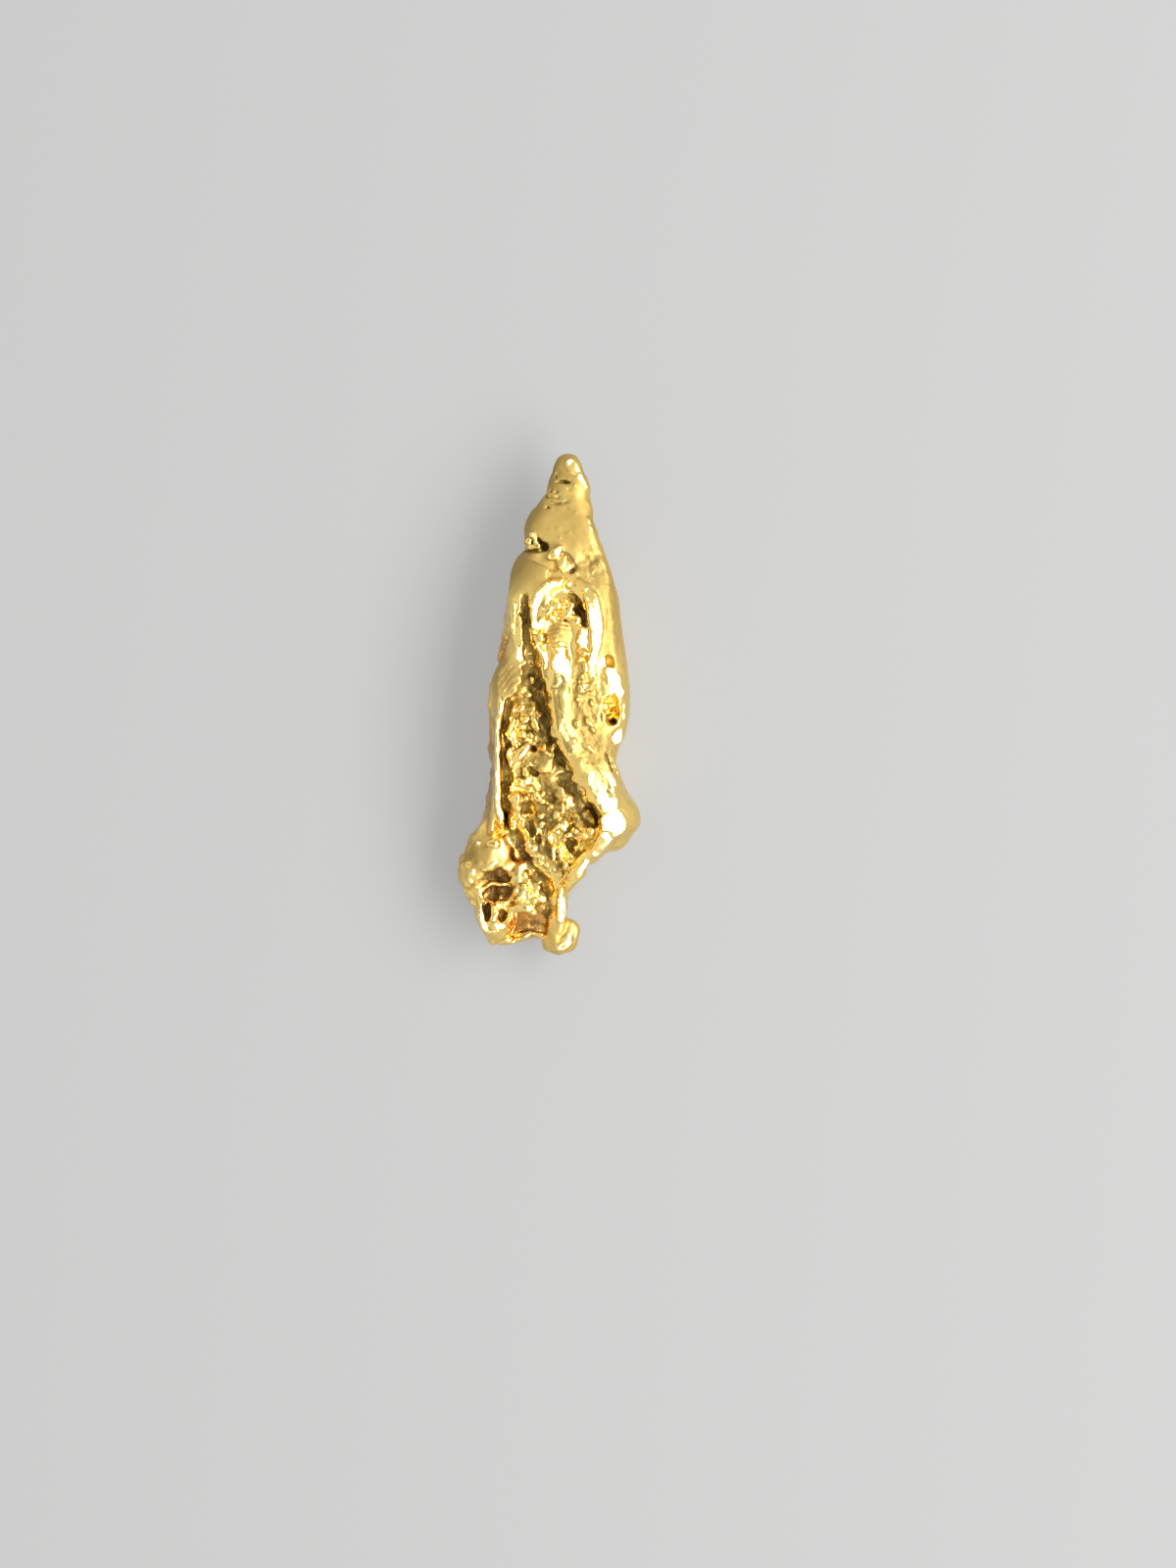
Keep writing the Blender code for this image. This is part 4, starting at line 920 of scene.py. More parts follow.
# Where the skin is beaded, streaked or pitted: centre, radii, and how much from 0 to 1
BEADED_PLACES = (
    ((-0.55, -0.3, 2.1), (0.38, 0.6, 0.5), 0.7), ((-0.50, -1.3, 2.1), (0.42, 0.8, 0.5), 0.7),
    ((-0.25, -2.2, 2.0), (0.55, 0.7, 0.6), 0.8), ((0.25, -2.8, 1.9), (0.60, 0.6, 0.6), 0.8),
    ((0.15, -3.4, 1.7), (0.30, 0.6, 0.5), 0.6), ((0.30, 2.05, 2.4), (0.40, 0.22, 0.4), 0.5),
    ((-1.25, -4.5, 1.4), (0.45, 0.7, 0.5), 0.7), ((-0.50, -4.3, 1.5), (0.40, 0.4, 0.5), 0.9),
    ((-1.85, -3.8, 1.5), (0.25, 0.4, 0.5), 0.8), ((1.36, -0.05, 1.9), (0.20, 0.4, 0.5), 0.8),
    ((-1.05, 1.3, 1.6), (0.25, 0.3, 0.5), 0.8), ((0.80, 0.7, 2.4), (0.22, 0.5, 0.4), 0.4),
    ((0.85, 3.25, 2.1), (0.30, 0.40, 0.4), 0.5),
)
STREAKED_PLACES = (
    ((0.75, 0.2, 2.3), (0.55, 1.0, 0.7), 1.0), ((0.20, 0.7, 2.4), (0.30, 0.8, 0.4), 0.5),
    ((0.95, -1.2, 2.2), (0.60, 0.9, 0.8), 1.0), ((1.50, -1.7, 1.8), (0.40, 0.7, 0.8), 0.8),
    ((1.35, 2.0, 1.9), (0.30, 1.0, 0.8), 0.8), ((0.85, 3.1, 2.0), (0.40, 0.5, 0.6), 0.7),
    ((1.15, 0.3, 2.4), (0.20, 0.6, 0.4), 0.5),
)
PITTED_PLACES = (
    ((0.30, 5.0, 1.7), (0.5, 0.7, 0.8), 0.5), ((-0.95, 0.6, 1.9), (0.35, 0.4, 0.6), 0.5),
    ((-1.55, -3.4, 1.5), (0.5, 0.5, 0.8), 1.0),
)

# Where the skin is satin and not bright: centre, radii, and how satin from 0 to 1
SATIN_PLACES = (
    ((0.35, 5.2, 1.6), (0.7, 0.7, 1.2), 1.0), ((0.2, 4.1, 1.6), (1.3, 1.0, 1.3), 1.0),
    ((-0.4, 3.0, 1.6), (0.9, 0.8, 1.2), 1.0), ((-0.95, 0.6, 1.8), (0.5, 0.6, 1.0), 1.0),
    ((-1.6, -3.5, 1.5), (0.7, 0.7, 1.0), 0.8), ((1.30, 1.9, 1.9), (0.45, 2.2, 1.1), 0.9),
    ((0.3, -5.3, 1.0), (0.6, 0.6, 0.9), 0.75), ((0.17, 1.6, 2.3), (0.4, 0.4, 0.5), 0.8),
    ((0.9, 3.3, 2.0), (0.6, 0.8, 0.9), 0.7), ((-0.2, -1.3, 2.1), (0.3, 0.3, 0.3), 0.8),
    ((0.72, 0.0, 2.3), (0.58, 1.2, 0.8), 0.80), ((1.00, -1.0, 2.1), (0.60, 0.95, 0.9), 0.95),
    ((-0.2, -1.6, 2.0), (0.9, 2.2, 0.8), 0.50), ((-0.6, -4.4, 1.4), (0.7, 0.7, 0.6), 0.5),
)

# Where iron has stained the gold, and at the left a painted warm reflection: centre, radii, and how much from
# 0 to 1
STAIN_AND_WARM_REFLECTION_PLACES = (
    ((-1.4, -3.9, 1.2), (1.0, 1.3, 1.2), 0.7), ((-0.7, -4.7, 1.0), (0.7, 0.8, 0.9), 1.0),
    ((-0.85, -3.5, 1.4), (0.5, 0.5, 0.8), 1.0), ((-1.4, -1.5, 1.3), (0.25, 2.0, 1.2), 0.9),
    ((-1.1, 1.3, 1.7), (0.3, 0.6, 0.8), 0.8), ((-0.38, -1.0, 1.9), (0.12, 0.25, 0.4), 0.9),
    ((-0.15, -4.9, 1.1), (0.2, 0.6, 0.5), 0.7), ((0.65, 2.2, 2.2), (0.15, 0.5, 0.3), 0.6),
)

# Where a painted amber reflection stands for gold mirroring gold: centre, radii, and how much from 0 to 1
PAINTED_REFLECTION_PLACES = (
    ((1.38, -0.12, 1.9), (0.25, 0.44, 0.5), 1.0), ((1.33, 0.96, 2.1), (0.14, 0.18, 0.3), 0.9),
    ((0.24, 3.15, 2.2), (0.16, 0.16, 0.3), 0.5), ((-0.36, -1.02, 1.9), (0.10, 0.22, 0.3), 0.8),
    ((0.42, 0.35, 2.4), (0.10, 0.20, 0.3), 0.5),
)

# Where old soil clings and painted shade darkens the grooves and furrows, as routes of (x, y, half width)
SOIL_AND_SHADE_ROUTES = (
    (
        (-0.57, 2.42, 0.08), (-0.57, 2.00, 0.11), (-0.55, 1.60, 0.10), (-0.46, 1.20, 0.10),
        (-0.42, 0.90, 0.16), (-0.44, 0.55, 0.22), (-0.38, 0.28, 0.24), (-0.24, 0.02, 0.17),
        (-0.12, -0.28, 0.15), (-0.02, -0.62, 0.13), (0.10, -0.96, 0.13), (0.20, -1.30, 0.16),
        (0.35, -1.65, 0.17), (0.50, -1.96, 0.18), (0.66, -2.22, 0.17), (0.86, -2.48, 0.22),
    ),
    (
        (-0.35, 0.25, 0.20), (-0.92, 0.08, 0.11), (-0.98, -0.30, 0.09), (-0.98, -0.80, 0.10),
        (-1.00, -1.40, 0.08), (-0.98, -2.00, 0.11), (-0.96, -2.50, 0.11), (-0.82, -3.00, 0.12),
        (-0.54, -3.44, 0.15), (-0.30, -3.76, 0.15), (-0.15, -4.20, 0.12), (-0.08, -4.80, 0.10),
    ),
    ((-0.50, -0.52, 0.11), (-0.12, -0.70, 0.12)),
    ((-0.56, -2.28, 0.13), (-0.46, -2.80, 0.13), (-0.30, -3.20, 0.13), (-0.20, -3.60, 0.12)),
    ((-0.30, -1.56, 0.07), (-0.06, -1.96, 0.09), (0.05, -2.20, 0.06)),
    ((0.34, -2.98, 0.06), (0.60, -3.36, 0.11)),
    ((-0.56, -1.40, 0.06), (-0.30, -1.50, 0.06)),
    ((-1.42, -3.84, 0.20), (-1.22, -3.96, 0.26), (-1.30, -4.24, 0.22), (-1.06, -4.22, 0.16)),
    ((-1.46, -4.48, 0.09), (-1.44, -4.80, 0.08)),
    ((-1.08, -4.70, 0.07), (-1.10, -4.92, 0.06)),
    ((-0.88, -5.38, 0.05), (-0.68, -5.28, 0.05)),
)

# Painted shade in pits, slits and cracks, as routes of (x, y, half width)
PAINTED_SHADE_MARKS = (
    ((1.00, 0.90, 0.012), (1.03, 0.55, 0.016), (1.02, 0.25, 0.012)),
    ((0.60, 0.60, 0.012), (0.62, 0.35, 0.012)), ((0.50, 0.50, 0.012), (0.50, 0.25, 0.012)),
    ((0.40, 0.40, 0.03), (0.42, 0.28, 0.02)), ((0.75, 0.12, 0.012), (0.86, -0.16, 0.012)),
    ((0.92, -0.12, 0.012), (1.06, -0.36, 0.014)), ((0.54, -0.14, 0.012), (0.64, -0.32, 0.012)),
    ((0.68, -0.58, 0.014), (0.80, -0.80, 0.012)), ((0.96, -0.74, 0.012), (1.10, -0.96, 0.014)),
    ((0.84, -1.16, 0.012), (1.00, -1.42, 0.012)),
    ((0.36, 2.68, 0.04), (0.48, 2.47, 0.07), (0.61, 2.26, 0.085), (0.72, 2.02, 0.08), (0.78, 1.78, 0.05)),
    ((-0.95, -5.30, 0.03), (-0.76, -5.26, 0.05)), ((0.02, 4.84, 0.03),), ((0.13, 4.83, 0.03),),
    ((-0.09, 4.72, 0.04),), ((-0.06, 4.47, 0.035),), ((0.12, 5.18, 0.02),),
    ((0.00, 4.61, 0.015), (0.15, 4.56, 0.022), (0.34, 4.60, 0.015)),
    ((0.18, 5.06, 0.02), (0.30, 5.06, 0.035), (0.40, 5.03, 0.02)),
    ((-0.27, 3.77, 0.03), (-0.20, 3.65, 0.06), (-0.12, 3.54, 0.07)),
    ((-0.41, 3.77, 0.02), (-0.42, 3.64, 0.02)), ((-0.62, 3.50, 0.03), (-0.30, 3.50, 0.02)),
    ((0.25, 3.48, 0.03), (0.40, 3.38, 0.05), (0.52, 3.14, 0.055), (0.44, 3.02, 0.055)),
    ((0.24, 3.01, 0.035),), ((-0.12, 1.60, 0.02), (-0.10, 1.47, 0.035), (-0.16, 1.37, 0.02)),
    ((0.33, 1.91, 0.04),), ((0.11, 2.18, 0.03),),
    ((1.13, -0.16, 0.015), (1.17, -0.34, 0.02), (1.22, -0.46, 0.012)), ((1.40, -0.38, 0.06),),
    ((1.24, -1.12, 0.02), (1.30, -1.30, 0.035), (1.38, -1.48, 0.02)),
)

# Where there is some soil and painted shade in the hollows, in patches: centre, radii, and how much from 0 to
# 1
SOIL_AND_SHADE_PLACES = (
    ((-0.45, -0.2, 2.0), (0.60, 0.80, 0.7), 0.80), ((-0.40, -1.4, 2.0), (0.65, 1.0, 0.7), 0.74),
    ((0.10, -2.5, 1.9), (0.95, 0.9, 0.7), 0.74), ((0.10, -3.4, 1.6), (0.50, 0.6, 0.7), 0.72),
    ((-0.60, -4.2, 1.5), (0.40, 0.4, 0.5), 0.50), ((-1.25, -4.6, 1.3), (0.40, 0.6, 0.5), 0.60),
    ((-0.35, 1.3, 2.3), (0.22, 0.6, 0.4), 0.50), ((-0.60, -4.98, 1.1), (0.45, 0.35, 0.5), 0.62),
)


def near_routes(points, routes, above):
    """How near each point is to a route's middle, seen from above: 1 up to 0.6 of its half width, 0 from 1.4.

    Points no higher than above belong to the underside, and get 0."""
    strength = np.zeros(len(points))
    for route in routes:
        path = np.array(route if len(route) > 1 else route * 2, float)
        for a, b in zip(path[:-1], path[1:]):
            run = b - a
            along = np.clip((points[:, :2] - a[:2]) @ run[:2] / max(run[:2] @ run[:2], LEAST_RUN), 0, 1)
            off = np.hypot(*(points[:, :2] - a[:2] - along[:, None] * run[:2]).T) / (a[2] + along * run[2])
            strength = np.maximum(strength, np.clip((1.4 - off) / 0.8, 0, 1))
    return strength * (points[:, 2] > above)


def strength_at(points, places):
    """How strongly a list of places marks each point: the most of its ellipsoids.

    They fade from 0.35 of their radii to 1.35 of them."""
    strength = np.zeros(len(points))
    for centre, radii, most in places:
        off = np.sqrt((((points - centre) / radii) ** 2).sum(1))
        strength = np.maximum(strength, most * np.clip(1.35 - off, 0, 1))
    return strength


def oval_patch(points, x, y, wide, long):
    """1 to 0.8 of an oval's half sizes, seen from above, and 0 from 1.3 of them."""
    return np.clip(1.3 - np.hypot((points[:, 0] - x) / wide, (points[:, 1] - y) / long), 0, 0.5) * 2


# The relief's grain: height in millimetres, sizes, seed
LOW_SWELLS = ((0.008, 0.55, 3), (0.003, 0.14, 4))
BEAD_SIZES = ((0.018, 0.22, 11), (0.020, 0.12, 12))
STREAK_SIZES = ((0.022, 0.14, 0.30, 21), (0.022, 0.08, 0.13, 22))

# Fine folds across the cushion and fine lines across the left facet: height and distance between two, and
# the ovals that they cover, as x, y, half width and half length
CUSHION_FOLDS = (0.020, 0.105)
CUSHION = (0.17, 1.60, 0.26, 0.36)
FACET_LINES = (0.012, 0.11)
FACET = (-0.95, 0.60, 0.30, 0.36)

# How deep the pits are, and how far the rows of beads and streaks are bent
PIT_DEPTH = 0.05
BEND = 0.05

# How much the relief is lowered where the metal shines
WORN_OFF = 0.85


def weather(metal, relief):
    """Raises the skin's natural relief: low swells everywhere, beads, streaks and pits in their places."""
    numbers, points = metal.near_skin(RELIEF_BAND)
    bent = points + BEND * three_swells(points, 0.3, 90)
    rough = 1 - WORN_OFF * near_routes(points, SHINING_ROUTES, above=1.3)
    height = sum(high * swell(points, size, seed) for high, size, seed in LOW_SWELLS)
    beaded = strength_at(points, BEADED_PLACES) * rough
    there = beaded > 0
    grains = sum(high * (beads(bent[there], size, seed) - 0.45) for high, size, seed in BEAD_SIZES)
    height[there] += beaded[there] * grains
    streaked = strength_at(points, STREAKED_PLACES) * rough
    there = streaked > 0
    lines = sum(high * (streaks(bent[there], *sizes) - 0.5) for high, *sizes in STREAK_SIZES)
    height[there] += streaked[there] * lines
    high, apart = CUSHION_FOLDS
    waves = (bent[:, 1] + 0.9 * (bent[:, 0] - CUSHION[0]) ** 2) / apart
    cushion = oval_patch(points, *CUSHION) * (points[:, 2] > 2.1)
    height += high * cushion * np.cos(2 * math.pi * waves)
    high, apart = FACET_LINES
    slanted = 0.75 * bent[:, 0] - 0.66 * bent[:, 1]
    height += high * oval_patch(points, *FACET) * np.cos(2 * math.pi * slanted / apart)
    pitted = strength_at(points, PITTED_PLACES)
    there = pitted > 0
    height[there] -= pitted[there] * PIT_DEPTH * pits(points[there], 0.24, 31)
    metal.away[numbers] -= (relief * height).astype(np.float32)


def wear_flat(metal):
    """Takes off everything below the surface the nugget lies on."""
    metal.away = np.maximum(metal.away, (WORN_DEPTH - metal.axes[2])[None, None, :])


def calm(points):
    """Where the forms aren't pulled about: the first four satin places and the right edge."""
    right_edge = np.clip((points[:, 0] - 1.05) / 0.3, 0, 1)
    return np.maximum(0.85 * strength_at(points, SATIN_PLACES[:4]), 0.8 * right_edge)


def sculpt(step, relief):
    metal = Metal(step)
    trunk_and_lobes(metal)
    stalk_and_foot(metal)
    underside(metal)
    cup_lobe(metal)
    left_flange(metal)
    left_facet(metal)
    right_ear_wall(metal)
    slopes(metal)
    recess(metal)
    rims(metal)
    mouth(metal)
    recess_floor(metal)
    cup_hollow(metal)
    ear(metal)
    tip_and_head_marks(metal)
    metal.pull_about(calm)
    worn_flats(metal)
    weather(metal, relief)
    wear_flat(metal)
    return metal


def skin(metal):
    """The surface where the field is zero, as points and four-sided faces.

    Each grid cell that the surface crosses gets one point, the mean of the crossings on its edges, and each
    grid edge that crosses the surface gets one face, which joins the points of the four cells round it."""
    away, step = metal.away, metal.step
    inside = away < 0
    nx, ny, nz = np.array(away.shape) - 1
    steps = [(a, b, c) for a in (0, 1) for b in (0, 1) for c in (0, 1)]
    count = sum(inside[a : a + nx, b : b + ny, c : c + nz].astype(np.int8) for a, b, c in steps)
    crossed = (count > 0) & (count < 8)
    number = np.full(crossed.shape, -1, np.int64)
    number[crossed] = np.arange(crossed.sum())
    cells = np.argwhere(crossed)
    total = np.zeros((len(cells), 3))
    hits = np.zeros(len(cells))
    for axis in range(3):
        others = [i for i in range(3) if i != axis]
        for u in (0, 1):
            for v in (0, 1):
                start = cells.copy()
                start[:, others[0]] += u
                start[:, others[1]] += v
                end = start.copy()
                end[:, axis] += 1
                a, b = away[tuple(start.T)], away[tuple(end.T)]
                hit = (a < 0) != (b < 0)
                place = start.astype(float)
                place[:, axis] += np.where(hit, a / np.where(hit, a - b, 1), 0)
                total += np.where(hit[:, None], place, 0)
                hits += hit
    points = SPACE_LOW + step * total / hits[:, None]
    faces = []
    for axis in range(3):
        one, two = (axis + 1) % 3, (axis + 2) % 3
        low = [slice(None)] * 3
        high = [slice(None)] * 3
        low[axis], high[axis] = slice(0, -1), slice(1, None)
        here, there = inside[tuple(low)], inside[tuple(high)]
        for edges, outward in ((here & ~there, True), (~here & there, False)):
            edge = np.argwhere(edges)
            ring = []
            for back_one, back_two in ((1, 1), (0, 1), (0, 0), (1, 0)):
                cell = edge.copy()
                cell[:, one] -= back_one
                cell[:, two] -= back_two
                ring.append(number[tuple(cell.T)])
            faces.append(np.stack(ring if outward else ring[::-1], 1))
    return points, np.vstack(faces)


def hollowness(metal, points, reach):
    """How hollow the skin is at each point: the share of gold in a cube round it, which is a half on a flat
    surface, more in a hollow and less on an edge. The result is 0 on flats, up to 1 in hollows, down to -1.

    The share comes from running totals along each axis, less the total one cube before."""
    half = int(round(reach / metal.step))
    share = (metal.away < 0).astype(np.float32)
    for axis in range(3):
        total = np.cumsum(np.pad(share, [(half + 1, half) if i == axis else (0, 0) for i in range(3)]), axis)
        size = share.shape[axis]
        upper = np.take(total, range(2 * half + 1, 2 * half + 1 + size), axis)
        share = (upper - np.take(total, range(size), axis)) / (2 * half + 1)
    i, j, k = np.rint((points - SPACE_LOW) / metal.step).astype(int).T
    return np.clip(share[i, j, k] * 2 - 1, -1, 1)


# The cubes for how hollow and how creased the skin is: half sizes in millimetres
HOLLOW_REACH = 0.35
CREASE_REACH = 0.07


def mark_skin(mesh, metal, points):
    """Stores what the gold's material reads at each point of the skin."""
    shining = near_routes(points, SHINING_ROUTES, above=1.0)
    # Soil and painted shade along the grooves and furrows and in patches of the hollows
    soiled_and_shaded = near_routes(points, SOIL_AND_SHADE_ROUTES, above=0.9)
    soil_and_shade = np.maximum(soiled_and_shaded, strength_at(points, SOIL_AND_SHADE_PLACES))
    gritty = strength_at(points, BEADED_PLACES) * 0.8 + strength_at(points, STREAKED_PLACES)
    marks = {
        "hollow": hollowness(metal, points, HOLLOW_REACH),
        "crease": hollowness(metal, points, CREASE_REACH),
        "gritty": np.clip(gritty, 0, 1),
        "satin": strength_at(points, SATIN_PLACES) * (1 - shining),
        # Iron stain, and at the left a painted warm reflection
        "stain_and_warm_reflection": strength_at(points, STAIN_AND_WARM_REFLECTION_PLACES) * (1 - 0.8 * shining),
        # Where an amber reflection of gold in gold is painted
        "gold_reflection": strength_at(points, PAINTED_REFLECTION_PLACES) * (1 - shining),
        # Soil and painted shade, with more painted shade in pits, slits and cracks
        "soil_and_shade": np.maximum(soil_and_shade * (1 - shining), 1.5 * near_routes(points, PAINTED_SHADE_MARKS, above=1.2)),
    }
    for name, values in marks.items():
        mesh.attributes.new(name, "FLOAT", "POINT").data.foreach_set("value", values.astype(np.float32))


def mesh_from(name, points, faces):
    mesh = bpy.data.meshes.new(name)
    mesh.vertices.add(len(points))
    mesh.vertices.foreach_set("co", (points * MM).astype(np.float32).ravel())
    mesh.loops.add(faces.size)
    mesh.loops.foreach_set("vertex_index", faces.astype(np.int32).ravel())
    mesh.polygons.add(len(faces))
    mesh.polygons.foreach_set("loop_start", np.arange(0, faces.size, faces.shape[1], dtype=np.int32))
    mesh.update(calc_edges=True)
    mesh.validate()
    mesh.shade_smooth()
    return mesh


# Materials

class Nodes:
    """A node tree with short ways to add nodes and link them."""

    def __init__(self, tree):
        self.tree = tree

    def add(self, kind, inputs=(), **settings):
        node = self.tree.nodes.new(kind)
        for name, value in settings.items():
            setattr(node, name, value)
        for name, value in dict(inputs).items():
            self.set(node.inputs[name], value)
        return node

    def set(self, socket, value):
        if isinstance(value, bpy.types.NodeSocket):
            self.tree.links.new(value, socket)
        else:
            socket.default_value = value

    def math(self, operation, *values, clamp=False):
        node = self.add("ShaderNodeMath", enumerate(values), operation=operation, use_clamp=clamp)
        return node.outputs[0]

    def spread(self, value, low, high, to_low=0.0, to_high=1.0):
        """A value's range from low to high eased onto another range, and held at its ends."""
        node = self.add("ShaderNodeMapRange", interpolation_type="SMOOTHSTEP")
        ends = {"From Min": low, "From Max": high, "To Min": to_low, "To Max": to_high}
        for name, one in {"Value": value, **ends}.items():
            self.set(node.inputs[name], one)
        return node.outputs["Result"]

    def blend(self, share, one, two):
        """One colour blended towards another, by a share from 0 to 1."""
        node = self.add("ShaderNodeMix", data_type="RGBA")
        for name, value in (("Factor", share), ("A", one), ("B", two)):
            self.set(node.inputs[name], value)
        return node.outputs["Result"]

    def noise(self, position, scale, detail=2.0, roughness=0.5):
        sockets = {"Vector": position, "Scale": scale, "Detail": detail, "Roughness": roughness}
        return self.add("ShaderNodeTexNoise", sockets).outputs["Fac"]


def node_group(name, inputs, outputs):
    """A new shader node group with sockets listed by kind: its nodes, its inputs and its output node."""
    group = bpy.data.node_groups.new(name, "ShaderNodeTree")
    for in_out, sockets in (("INPUT", inputs), ("OUTPUT", outputs)):
        for kind, names in sockets.items():
            for socket in names:
                group.interface.new_socket(socket, in_out=in_out, socket_type=kind)
    nodes = Nodes(group)
    return nodes, nodes.add("NodeGroupInput").outputs, nodes.add("NodeGroupOutput").inputs


def gold_tone_group():
    """The gold's colour: clean, duller where it is satin, with iron stain and old soil, painted shade in
    hollows, grooves and pits, a painted amber reflection in small hollows and creases, and a painted warm
    reflection at the left.
    """
    nodes, given, result = node_group(
        "gold_tone",
        {
            "NodeSocketVector": ("Position",),
            "NodeSocketFloat": ("Hollow", "Crease", "Stain_And_Warm_Reflection", "Soil_And_Shade", "Gold_Reflection", "Satin"),
            "NodeSocketColor": ("Clean", "Dull", "Stain_And_Warm_Reflection_Colour", "Deep", "Mirrored", "Rust_And_Shade"),
        },
        {"NodeSocketColor": ("Color",), "NodeSocketFloat": ("Soiled_And_Shaded",)},
    )
    patches = nodes.noise(given["Position"], 2.6, 3.0)
    specks = nodes.noise(given["Position"], 9.0, 3.0)
    # Iron stain, stronger in hollows; at the left it also paints a warm reflection
    uneven = nodes.math("MULTIPLY_ADD", nodes.math("SUBTRACT", specks, 0.5), 0.5, given["Stain_And_Warm_Reflection"])
    stain_and_warm_reflection = nodes.spread(nodes.math("MULTIPLY_ADD", given["Hollow"], 0.5, uneven), 0.25, 1.1)
    # Soil and painted shade in ragged patches, kept off raised edges
    raised = nodes.spread(given["Crease"], -0.30, 0.05)
    patchy = nodes.math("MULTIPLY_ADD", nodes.math("SUBTRACT", patches, 0.5), 1.6, given["Soil_And_Shade"])
    patchy = nodes.math("MULTIPLY_ADD", nodes.math("SUBTRACT", specks, 0.5), 1.6, patchy)
    soiled_and_shaded = nodes.math("MULTIPLY", nodes.spread(patchy, 0.25, 0.85), raised)
    # Painted shade: where the skin is hollow or creased, the gold is darkened towards the deep colour as if
    # shade fell there
    pit = nodes.spread(nodes.math("MULTIPLY_ADD", given["Crease"], 0.4, given["Hollow"]), 0.38, 0.80)
    outside_gold_reflection = nodes.math("SUBTRACT", 1.0, given["Gold_Reflection"])
    deep = nodes.math("MAXIMUM", soiled_and_shaded, nodes.math("MULTIPLY", pit, outside_gold_reflection))
    # Painted reflection: an amber tint where gold would mirror gold, in the places listed and a little in
    # creases
    gold_reflection = nodes.math("MAXIMUM", given["Gold_Reflection"], nodes.spread(given["Crease"], 0.10, 0.55, 0.0, 0.08))
    colour = nodes.blend(nodes.spread(given["Satin"], 0.1, 0.9), given["Clean"], given["Dull"])
    colour = nodes.blend(gold_reflection, colour, given["Mirrored"])
    colour = nodes.blend(stain_and_warm_reflection, colour, given["Stain_And_Warm_Reflection_Colour"])
    # The colour of the painted shade and the soil, redder where the gold is iron-stained
    dark = nodes.blend(nodes.spread(given["Stain_And_Warm_Reflection"], 0.3, 0.9), given["Deep"], given["Rust_And_Shade"])
    pale_soil = nodes.math("MULTIPLY", nodes.spread(specks, 0.45, 0.70), 0.30)
    nodes.set(result["Color"], nodes.blend(deep, colour, nodes.blend(pale_soil, dark, given["Dull"])))
    nodes.set(result["Soiled_And_Shaded"], deep)
    return nodes.tree


def worn_skin_group():
    """The gold's fine surface: how rough it is, and a fine grain as height in millimetres."""
    nodes, given, result = node_group(
        "worn_skin",
        {
            "NodeSocketVector": ("Position",),
            "NodeSocketFloat": ("Satin", "Soiled_And_Shaded", "Gritty", "Bright Roughness", "Satin Roughness"),
        },
        {"NodeSocketFloat": ("Roughness", "Height")},
    )
    wear = nodes.noise(given["Position"], 5.0, 3.0, 0.6)
    fine = nodes.noise(given["Position"], 14.0, 3.0, 0.55)
    grit = nodes.noise(given["Position"], 10.0, 2.0, 0.6)
    satin = nodes.math("MULTIPLY_ADD", nodes.math("SUBTRACT", wear, 0.5), 0.3, given["Satin"])
    satin = nodes.math("MAXIMUM", satin, given["Soiled_And_Shaded"])
    roughness = nodes.spread(satin, 0.0, 0.9, given["Bright Roughness"], given["Satin Roughness"])
    nodes.set(result["Roughness"], roughness)
    low = nodes.math("MULTIPLY", fine, 0.004)
    gritty = nodes.math("MULTIPLY", grit, given["Gritty"])
    nodes.set(result["Height"], nodes.math("MULTIPLY_ADD", gritty, 0.022, low))
    return nodes.tree


def gold_material(look):
    material = bpy.data.materials.new("native_gold")
    material.use_nodes = True
    nodes = Nodes(material.node_tree)
    shader = material.node_tree.nodes["Principled BSDF"]
    shader.inputs["Metallic"].default_value = 1.0
    place = nodes.add("ShaderNodeTexCoord").outputs["Object"]
    scaled = nodes.add("ShaderNodeVectorMath", {0: place, "Scale": 1 / MM}, operation="SCALE")
    tone = nodes.add("ShaderNodeGroup", node_tree=gold_tone_group())
    skin_look = nodes.add("ShaderNodeGroup", node_tree=worn_skin_group())
    for name in ("Hollow", "Crease", "Satin", "Stain_And_Warm_Reflection", "Soil_And_Shade", "Gold_Reflection", "Gritty"):
        value = nodes.add("ShaderNodeAttribute", attribute_name=name.lower()).outputs["Fac"]
        for group in (tone, skin_look):
            if name in group.inputs:
                nodes.set(group.inputs[name], value)
    for group in (tone, skin_look):
        nodes.set(group.inputs["Position"], scaled.outputs["Vector"])
    colours = {
        "Clean": look.gold, "Dull": look.dull_gold, "Stain_And_Warm_Reflection_Colour": look.iron_stain_and_warm_reflection,
        "Deep": look.shade_and_soil_gold, "Mirrored": look.gold_reflection, "Rust_And_Shade": look.rust_and_shade,
    }
    for name, colour in colours.items():
        nodes.set(tone.inputs[name], (*colour, 1.0))
    nodes.set(skin_look.inputs["Soiled_And_Shaded"], tone.outputs["Soiled_And_Shaded"])
    nodes.set(skin_look.inputs["Bright Roughness"], look.bright)
    nodes.set(skin_look.inputs["Satin Roughness"], look.satin)
    height = skin_look.outputs["Height"]
    grain = nodes.add("ShaderNodeBump", {"Height": height, "Distance": MM, "Strength": 1.0})
    nodes.set(shader.inputs["Base Color"], tone.outputs["Color"])
    nodes.set(shader.inputs["Roughness"], skin_look.outputs["Roughness"])
    nodes.set(shader.inputs["Normal"], grain.outputs["Normal"])
    return material


